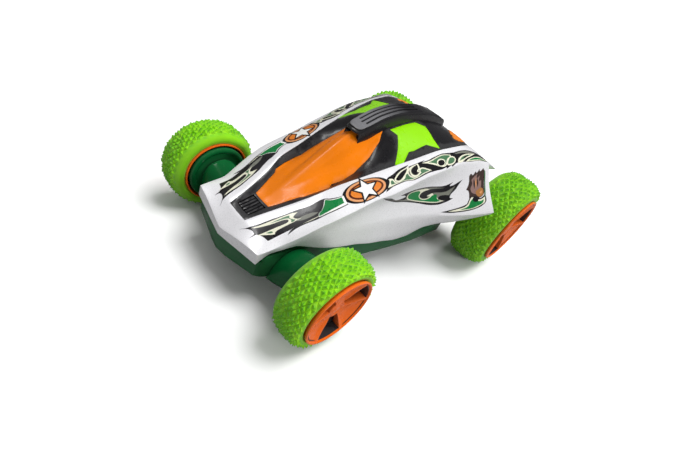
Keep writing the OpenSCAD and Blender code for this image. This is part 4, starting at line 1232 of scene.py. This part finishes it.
class Wheel:
    """Sizes of one wheel, most of them read from its nodes in the frame."""

    def __init__(self, end, side_name):
        self.end, self.side_name = end, side_name
        self.side = 1 if side_name == "left" else -1
        low, high = box_mm(f"{end}_tyre_{side_name}")
        self.y, self.z = (low[1] + high[1]) / 2, (low[2] + high[2]) / 2
        self.x = abs(low[0] + high[0]) / 2
        self.half = (high[0] - low[0]) / 2
        self.r = (high[2] - low[2]) / 2
        sizes = WHEEL_SIZES[end]
        self.seat, self.wall, self.lip_r = sizes["seat"], sizes["wall"], sizes["lip_r"]
        self.hub_r, self.hub_in, self.hub_out = sizes["hub_r"], sizes["hub_in"], sizes["hub_out"]
        self.bore, self.cap_wall = sizes["bore"], sizes["cap_wall"]
        low, high = box_mm(f"{end}_dish_{side_name}")
        self.dish_x = max(abs(low[0]), abs(high[0]))
        low, high = box_mm(f"{end}_cap_{side_name}")
        self.cap_r = (high[2] - low[2]) / 2
        self.cap_x = max(abs(low[0]), abs(high[0]))
        self.body = f"{end}_wheel_{side_name}"
        self.centre = (self.y, self.z)

    def node(self, part):
        return f"{self.end}_{part}_{self.side_name}"


def tyre(w):
    """A balloon tyre: staggered low pyramids over the tread and shoulders, smooth rings beside them."""
    tread = TREAD[w.end]
    height, rows = tread["height"], tread["rows"]
    ring_out, ring_in = tread["ring_out"], tread["ring_in"]
    floor_r = w.r - height
    turn_r = w.seat + 2.6
    power = 2.5

    def profile(angle):
        """(x, radius) on the carcass: angle -90 is the inner side, 0 the crown and 90 the outer side."""
        s, c = math.sin(angle), math.cos(angle)
        x = math.copysign(abs(s) ** (2 / power), s) * (w.half - 0.2)
        r = turn_r + (floor_r - turn_r) * abs(c) ** (2 / power)
        return x, r

    def angle_at(radius):
        return math.acos(((radius - turn_r) / (floor_r - turn_r)) ** (power / 2))

    fine = np.linspace(-angle_at(ring_in), angle_at(ring_out), 400)
    curve = np.array([profile(a) for a in fine])
    length = np.r_[0, np.cumsum(np.linalg.norm(np.diff(curve, axis=0), axis=1))]
    marks = np.linspace(0, length[-1], rows + 1)
    base = np.stack([np.interp(marks, length, curve[:, 0]), np.interp(marks, length, curve[:, 1])], -1)
    tangent = np.gradient(base, axis=0)
    normal = np.stack([-tangent[:, 1], tangent[:, 0]], -1)
    normal /= np.linalg.norm(normal, axis=1, keepdims=True)
    columns = 2 * tread["around"]

    def place(x, r, step):
        a = 2 * math.pi * step / columns
        return (w.x + x, w.y + r * math.cos(a), w.z + r * math.sin(a))

    build = Build()
    verts, index = [], {}
    for i in range(rows + 1):
        border = i in (0, rows)
        for j in range(columns):
            drift = 0.0 if border else 1.0
            x, r = base[i] + tangent[i] * drift * random.uniform(-0.3, 0.3)
            step = j + drift * random.uniform(-0.34, 0.34)
            if (i + j) % 2:
                lift = drift * height * random.uniform(0.55, 1.0)
            else:
                lift = -drift * random.uniform(0.1, 0.9)
            x, r = x + normal[i][0] * lift, r + normal[i][1] * lift
            index[i, j] = len(verts)
            verts.append(place(x, min(r, w.r), step))
    faces = []
    for i in range(rows + 1):
        for j in range(columns):
            if (i + j) % 2 == 0:
                continue
            before, after = (j - 1) % columns, (j + 1) % columns
            ring = []
            if i > 0:
                ring.append(index[i - 1, j])
            ring.append(index[i, after])
            if i < rows:
                ring.append(index[i + 1, j])
            ring.append(index[i, before])
            if i == 0:
                pairs = [(ring[0], ring[1]), (ring[1], ring[2])]
            elif i == rows:
                pairs = [(ring[2], ring[0]), (ring[0], ring[1])]
            else:
                pairs = list(zip(ring, ring[1:] + ring[:1]))
            faces += [(index[i, j], p, q) for p, q in pairs]
    build.add(verts, faces, smooth=False)
    # Smooth rings from the tread's edges to the rim, and the hidden inside face
    groove = 1.0
    outer = [profile(a) for a in np.linspace(angle_at(ring_out), math.pi / 2 - 0.02, 5)][1:]
    outer += [
        (w.half - 0.2, w.seat + 2.4), (w.half - 0.6, w.seat + 1.4), (w.half - groove - 0.8, w.seat + 0.8)
    ]
    outer += [(w.half - groove - 1.4, w.seat)]
    inner = [profile(-a) for a in np.linspace(angle_at(ring_in), math.pi / 2 - 0.02, 5)][1:]
    inner += [(-w.half + 0.2, w.seat + 2.4), (-w.half + 0.6, w.seat + 1.0), (-w.half + 1.2, w.seat)]
    path = [tuple(base[-1])] + outer + inner[::-1] + [tuple(base[0])]
    ring_verts = [place(x, r, j) for x, r in path for j in range(columns)]
    build.add(ring_verts, grid_faces(len(path), columns, closed=True, flip=True))
    obj = build.piece(f"{w.node('tyre')}_look", ["tyre_lime"], w.side, weld=0.002)
    settle(obj, w.node("tyre"))


def spoke(build, w, turn):
    """One broad dished spoke with a rolled edge on each side."""
    barrel = w.seat - w.wall
    radii = np.linspace(w.hub_r - 0.8, barrel + 0.4, 14)
    across = np.linspace(-1, 1, 15)
    top, bottom = [], []
    for r in radii:
        share = min(1.0, max(0.0, (r - w.hub_r) / (barrel - w.hub_r)))
        half_angle = math.radians(SPOKE_HALF + SPOKE_GAIN * share)
        face = w.cap_x - 0.4 + (w.x + w.half + 1.0 - w.cap_x) * share ** 1.6
        for u in across:
            rolled = SPOKE_ROLL * smoothstep((abs(u) - 0.76) / 0.16) * min(1, share * 4)
            hollow = SPOKE_HOLLOW * (1 - u * u) * math.sin(math.pi * share)
            a = math.radians(turn) + u * half_angle
            across_y, across_z = w.y + r * math.cos(a), w.z + r * math.sin(a)
            top.append((face + float(rolled) - hollow, across_y, across_z))
            bottom.append((w.dish_x - 0.2, across_y, across_z))
    rows, columns = len(radii), len(across)
    count = rows * columns
    faces = grid_faces(rows, columns, flip=True)
    faces += [tuple(count + i for i in f[::-1]) for f in grid_faces(rows, columns, flip=True)]
    rim = [j for j in range(columns)]
    rim += [i * columns + columns - 1 for i in range(1, rows)]
    rim += [(rows - 1) * columns + j for j in range(columns - 2, -1, -1)]
    rim += [i * columns for i in range(rows - 2, 0, -1)]
    for a, b in zip(rim, rim[1:] + rim[:1]):
        faces.append((a, b, count + b, count + a))
    build.add(top + bottom, faces)


def rim(w):
    """Barrel with a rolled lip, hub and three spokes."""
    build = Build()
    barrel = w.seat - w.wall
    outer = w.x + w.half + LIP_OUT
    inner = w.x - w.half - 0.3
    profile = rounded_outline([
        (inner, barrel, 0.3), (inner, w.seat, 0.3), (w.x + w.half + 0.2, w.seat, 0),
        (w.x + w.half + 0.2, w.lip_r, 0.5), (outer, w.lip_r, 0.8), (outer, w.lip_r - 1.2, 0.5),
        (w.x + w.half + 0.3, barrel, 0.3),
    ], 0.4, 4)
    build.add(*lathe(profile, w.centre, 120))
    hub = rounded_outline([
        (w.x + w.hub_in, w.bore, 0), (w.x + w.hub_in, w.hub_r, 0.5), (w.cap_x - 0.3, w.hub_r, 0.5),
        (w.cap_x - 0.3, w.cap_r, 0.3), (w.x + w.hub_out, w.cap_r, 0), (w.x + w.hub_out, w.bore, 0),
    ], 0.5, 3)
    build.add(*lathe(hub, w.centre, 48))
    for k in range(SPOKES):
        spoke(build, w, 90 + 360 / SPOKES * k)
    obj = build.piece(f"{w.node('rim')}_look", ["rim_orange"], w.side)
    clean(obj)
    rounded(obj, 0.45, 48)
    settle(obj, w.node("rim"))


def dish(w):
    """Black plate behind the spokes, with a ring of shallow steps."""
    barrel = w.seat - w.wall
    back = w.dish_x
    outline = [
        (back - 1.5, w.hub_r), (back - 1.5, barrel), (back, barrel), (back, barrel * 0.86),
        (back - 0.6, barrel * 0.83), (back - 0.6, barrel * 0.62), (back, barrel * 0.59), (back, w.hub_r),
    ]
    build = Build().add(*lathe(rounded_outline(outline, 0.3, 2), w.centre, 96))
    obj = build.piece(f"{w.node('dish')}_look", ["black_plastic"], w.side)
    clean(obj)
    shade(obj, 45)
    settle(obj, w.node("dish"))


def painted_recess_shade(w):
    """A thin black sheet on the rim's wall, from the plate up to the rolled lip: painted shade for the
    shadowed recess.
    """
    wall = w.seat - w.wall
    front = w.x + w.half + 0.9
    outline = [
        (w.dish_x - 0.5, wall + 0.05), (front, wall + 0.05), (front, wall - 0.3),
        (w.dish_x - 0.5, wall - 0.3)
    ]
    # The black sheet is painted shade lining the recess wall
    build = Build().add(*lathe(outline, w.centre, 120))
    obj = build.piece(f"{w.node('rim')}_recess", ["black_plastic"], w.side)
    clean(obj)
    shade(obj, 45)
    settle(obj, (), frame["nodes"][w.node("rim")]["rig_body"])


def centre_cap(w):
    """A low domed cup pressed into the hub, with a ring groove."""
    low, high = box_mm(w.node("cap"))
    x0, x1, r = min(abs(low[0]), abs(high[0])), w.cap_x, w.cap_r
    wall = w.cap_wall
    outline = [
        (x0, r - wall, 0), (x0, r, 0), (x1 - 0.2, r, 0.8), (x1 - 0.2, r * 0.74, 0.2),
        (x1 - 0.6, r * 0.68, 0.2), (x1 - 0.25, r * 0.6, 0.2), (x1, 0.05, 0), (x1 - 1.2, 0.05, 0),
        (x1 - 1.2, r - wall, 0),
    ]
    build = Build().add(*lathe(rounded_outline(outline, 0.3, 3), w.centre, 48))
    obj = build.piece(f"{w.node('cap')}_look", ["rim_orange"], w.side)
    clean(obj)
    shade(obj, 45)
    settle(obj, w.node("cap"))


def hub_cover(side_name):
    """Round cover beside each front wheel: a flat disc in a rounded raised edge."""
    side = 1 if side_name == "left" else -1
    w = Wheel("front", side_name)
    low, high = box_mm(f"front_hub_cover_{side_name}")
    x0, x1 = sorted((abs(low[0]), abs(high[0])))
    r = (high[2] - low[2]) / 2
    outline = [
        (x0 + 1.3, 2.1, 0), (x0 + 1.3, 17.0, 0.7), (x0 + 0.1, 18.3, 1.1), (x0, 19.8, 1.0),
        (x0 + 0.8, r, 1.5), (x1 - 1.5, r, 0.8), (x1 - 1.5, 18.2, 0.4), (x1, 17.8, 0.5), (x1, 2.1, 0),
    ]
    build = Build().add(*lathe(rounded_outline(outline, 0.4, 4), w.centre, 120))
    obj = build.piece(f"front_hub_cover_{side_name}_look", ["chassis_green"], side)
    clean(obj)
    shade(obj, 40)
    settle(obj, f"front_hub_cover_{side_name}")


# ---------- Refined copies of frame parts ----------


def copy_of(node):
    obj = bpy.data.objects.new(f"{node}_look", frame["nodes"][node].data.copy())
    bpy.context.scene.collection.objects.link(obj)
    obj.data.materials.clear()
    return obj


def refine(node, finish, bevel, angle=35, clamp=True):
    """A copy of a frame part with its flat faces joined up and its edges rounded."""
    obj = copy_of(node)
    bm = bmesh.new()
    bm.from_mesh(obj.data)
    bmesh.ops.remove_doubles(bm, verts=bm.verts, dist=2e-6)
    bmesh.ops.dissolve_limit(bm, angle_limit=math.radians(0.8), verts=bm.verts, edges=bm.edges)
    bm.to_mesh(obj.data)
    bm.free()
    obj.data.materials.append(materials[finish])
    obj.data.polygons.foreach_set("material_index", [0] * len(obj.data.polygons))
    rounded(obj, bevel, angle, 2, clamp)
    return settle(obj, node)


def blended(node, finish, voxel=0.75, rounds=6):
    """A copy of a frame part with its creases melted into fillets, as in a one-piece moulding."""
    obj = copy_of(node)
    clean(obj, 0.002)
    obj.data.materials.append(materials[finish])
    remesh = obj.modifiers.new("remesh", "REMESH")
    remesh.mode = "VOXEL"
    remesh.voxel_size = voxel * MM
    relax = obj.modifiers.new("relax", "SMOOTH")
    relax.factor = 0.5
    relax.iterations = rounds
    bake(obj)
    obj.data.polygons.foreach_set("use_smooth", [True] * len(obj.data.polygons))
    return settle(obj, node)


def paint(node, finish):
    """A frame part that stays as it is, with its procedural finish."""
    data = frame["nodes"][node].data
    for k in range(max(1, len(data.materials))):
        if k < len(data.materials):
            data.materials[k] = materials[finish]
        else:
            data.materials.append(materials[finish])


def mechanics():
    record = {part["node"]: part["material_slot"] for part in frame["record"]["subparts"]}
    refine("chassis_tray", "chassis_green", 0.5)
    refine("motor_cover", "black_plastic", 0.35)
    refine("battery_door", "chassis_green", 0.25)
    refine("switch_body", "black_plastic", 0.3)
    refine("switch_slider", "rim_orange", 0.2)
    for side in ("left", "right"):
        blended(f"front_arm_{side}", "chassis_green", 0.9, 24)
        refine(f"gearbox_case_{side}", "chassis_green", 0.4)
        refine(f"gearbox_cover_{side}", "chassis_green", 0.4)
    for node in frame["nodes"]:
        if not frame["nodes"][node].hide_render and record.get(node) in materials:
            paint(node, record[node])


# ---------- Stage ----------


def soft_sun(name, direction, energy, width):
    """A sun width degrees wide that doesn't show as a highlight."""
    light = bpy.data.lights.new(name, "SUN")
    light.energy = energy
    light.angle = math.radians(width)
    obj = bpy.data.objects.new(name, light)
    obj.visible_glossy = False
    bpy.context.scene.collection.objects.link(obj)
    obj.rotation_euler = Vector(direction).to_track_quat("-Z", "Y").to_euler()


def reflected_softbox(name, location, target, size, power):
    """A softbox that only shows as a highlight."""
    light = bpy.data.lights.new(name, "AREA")
    light.shape = "RECTANGLE"
    light.size, light.size_y = size
    light.energy = power
    obj = bpy.data.objects.new(name, light)
    obj.visible_diffuse = False
    bpy.context.scene.collection.objects.link(obj)
    obj.location = location
    obj.rotation_euler = (Vector(target) - Vector(location)).to_track_quat("-Z", "Y").to_euler()


DOME, GLOSS_DOME, FLOOR_GLOW = 0.4, 0.12, 0.32
SKY_SEEN = 1.05
FLOOR_REACH = 60.0


def stage():
    """A white sweep under a soft sun. The camera sees the sweep paler than it lights the car from below."""
    mesh = bpy.data.meshes.new("floor")
    reach = FLOOR_REACH
    corners = [(-reach, -reach, 0), (reach, -reach, 0), (reach, reach, 0), (-reach, reach, 0)]
    mesh.from_pydata(corners, [], [(0, 1, 2, 3)])
    n = Nodes("floor_white")
    white = srgb("#f9f9f9")
    seen = n.add("LightPath").outputs["Is Camera Ray"]
    paper = n.mix(n.ramp(n.noise(300), 0, 1), white, scaled(white, 0.99))
    n.join(n.mix(seen, scaled(white, FLOOR_GLOW), paper), n.shader.inputs["Base Color"])
    n.shader.inputs["Roughness"].default_value = 0.7
    n.shader.inputs["Specular IOR Level"].default_value = 0.0
    mesh.materials.append(n.material)
    floor = bpy.data.objects.new("floor", mesh)
    bpy.context.scene.collection.objects.link(floor)

    world = bpy.data.worlds.new("studio")
    bpy.context.scene.world = world
    world.use_nodes = True
    tree = world.node_tree
    background = tree.nodes["Background"]
    seen = tree.nodes.new("ShaderNodeLightPath")
    mirrored_sky = tree.nodes.new("ShaderNodeMapRange")
    mirrored_sky.inputs["To Min"].default_value = DOME
    mirrored_sky.inputs["To Max"].default_value = GLOSS_DOME
    tree.links.new(seen.outputs["Is Glossy Ray"], mirrored_sky.inputs["Value"])
    strength = tree.nodes.new("ShaderNodeMapRange")
    strength.inputs["To Max"].default_value = SKY_SEEN
    tree.links.new(mirrored_sky.outputs["Result"], strength.inputs["To Min"])
    tree.links.new(seen.outputs["Is Camera Ray"], strength.inputs["Value"])
    tree.links.new(strength.outputs["Result"], background.inputs["Strength"])
    background.inputs["Color"].default_value = (1, 1, 1, 1)

    soft_sun("top_sun", (-0.15, -0.3, -1), 2.8, 36)
    soft_sun("side_sun", (-1, -0.1, -0.45), 1.0, 20)
    reflected_softbox("softbox_top", (-0.36, -0.33, 0.78), (0, -0.08, 0.08), (0.3, 0.16), 1.6)
    reflected_softbox("softbox_front", (0.35, -0.75, 0.8), (0, -0.05, 0.06), (0.5, 0.25), 0.7)


# Azimuth, elevation and roll in degrees, focal length in millimetres, and place in metres
CAMERA_TURN = (30.876, 33.607, 25.904)
CAMERA_LENS = 18.935
CAMERA_AT = (0.14901, -0.25654, 0.19440)


def camera():
    az, el, roll = (math.radians(a) for a in CAMERA_TURN)
    back = Vector((math.sin(az) * math.cos(el), -math.cos(az) * math.cos(el), math.sin(el)))
    right = Vector((math.cos(az), math.sin(az), 0))
    up = back.cross(right)
    across = right * math.cos(roll) + up * math.sin(roll)
    top = up * math.cos(roll) - right * math.sin(roll)
    data = bpy.data.cameras.new("camera")
    data.lens = CAMERA_LENS
    data.sensor_width = 36
    data.clip_start = 0.01
    data.clip_end = 200
    obj = bpy.data.objects.new("camera", data)
    bpy.context.scene.collection.objects.link(obj)
    turn = Matrix((across, top, back)).transposed().to_4x4()
    obj.matrix_world = Matrix.Translation(CAMERA_AT) @ turn
    bpy.context.scene.camera = obj


bpy.context.scene.view_settings.view_transform = "Standard"
stage()
camera()
body_shell()
canopy()
nose_vent()
tail_lamps()
roof_scoop()
scoop_plate()
decals()
for end in ("front", "rear"):
    for side_name in ("left", "right"):
        wheel = Wheel(end, side_name)
        tyre(wheel)
        rim(wheel)
        dish(wheel)
        painted_recess_shade(wheel)
        centre_cap(wheel)
for side_name in ("left", "right"):
    hub_cover(side_name)
mechanics()

bpy.context.view_layer.update()
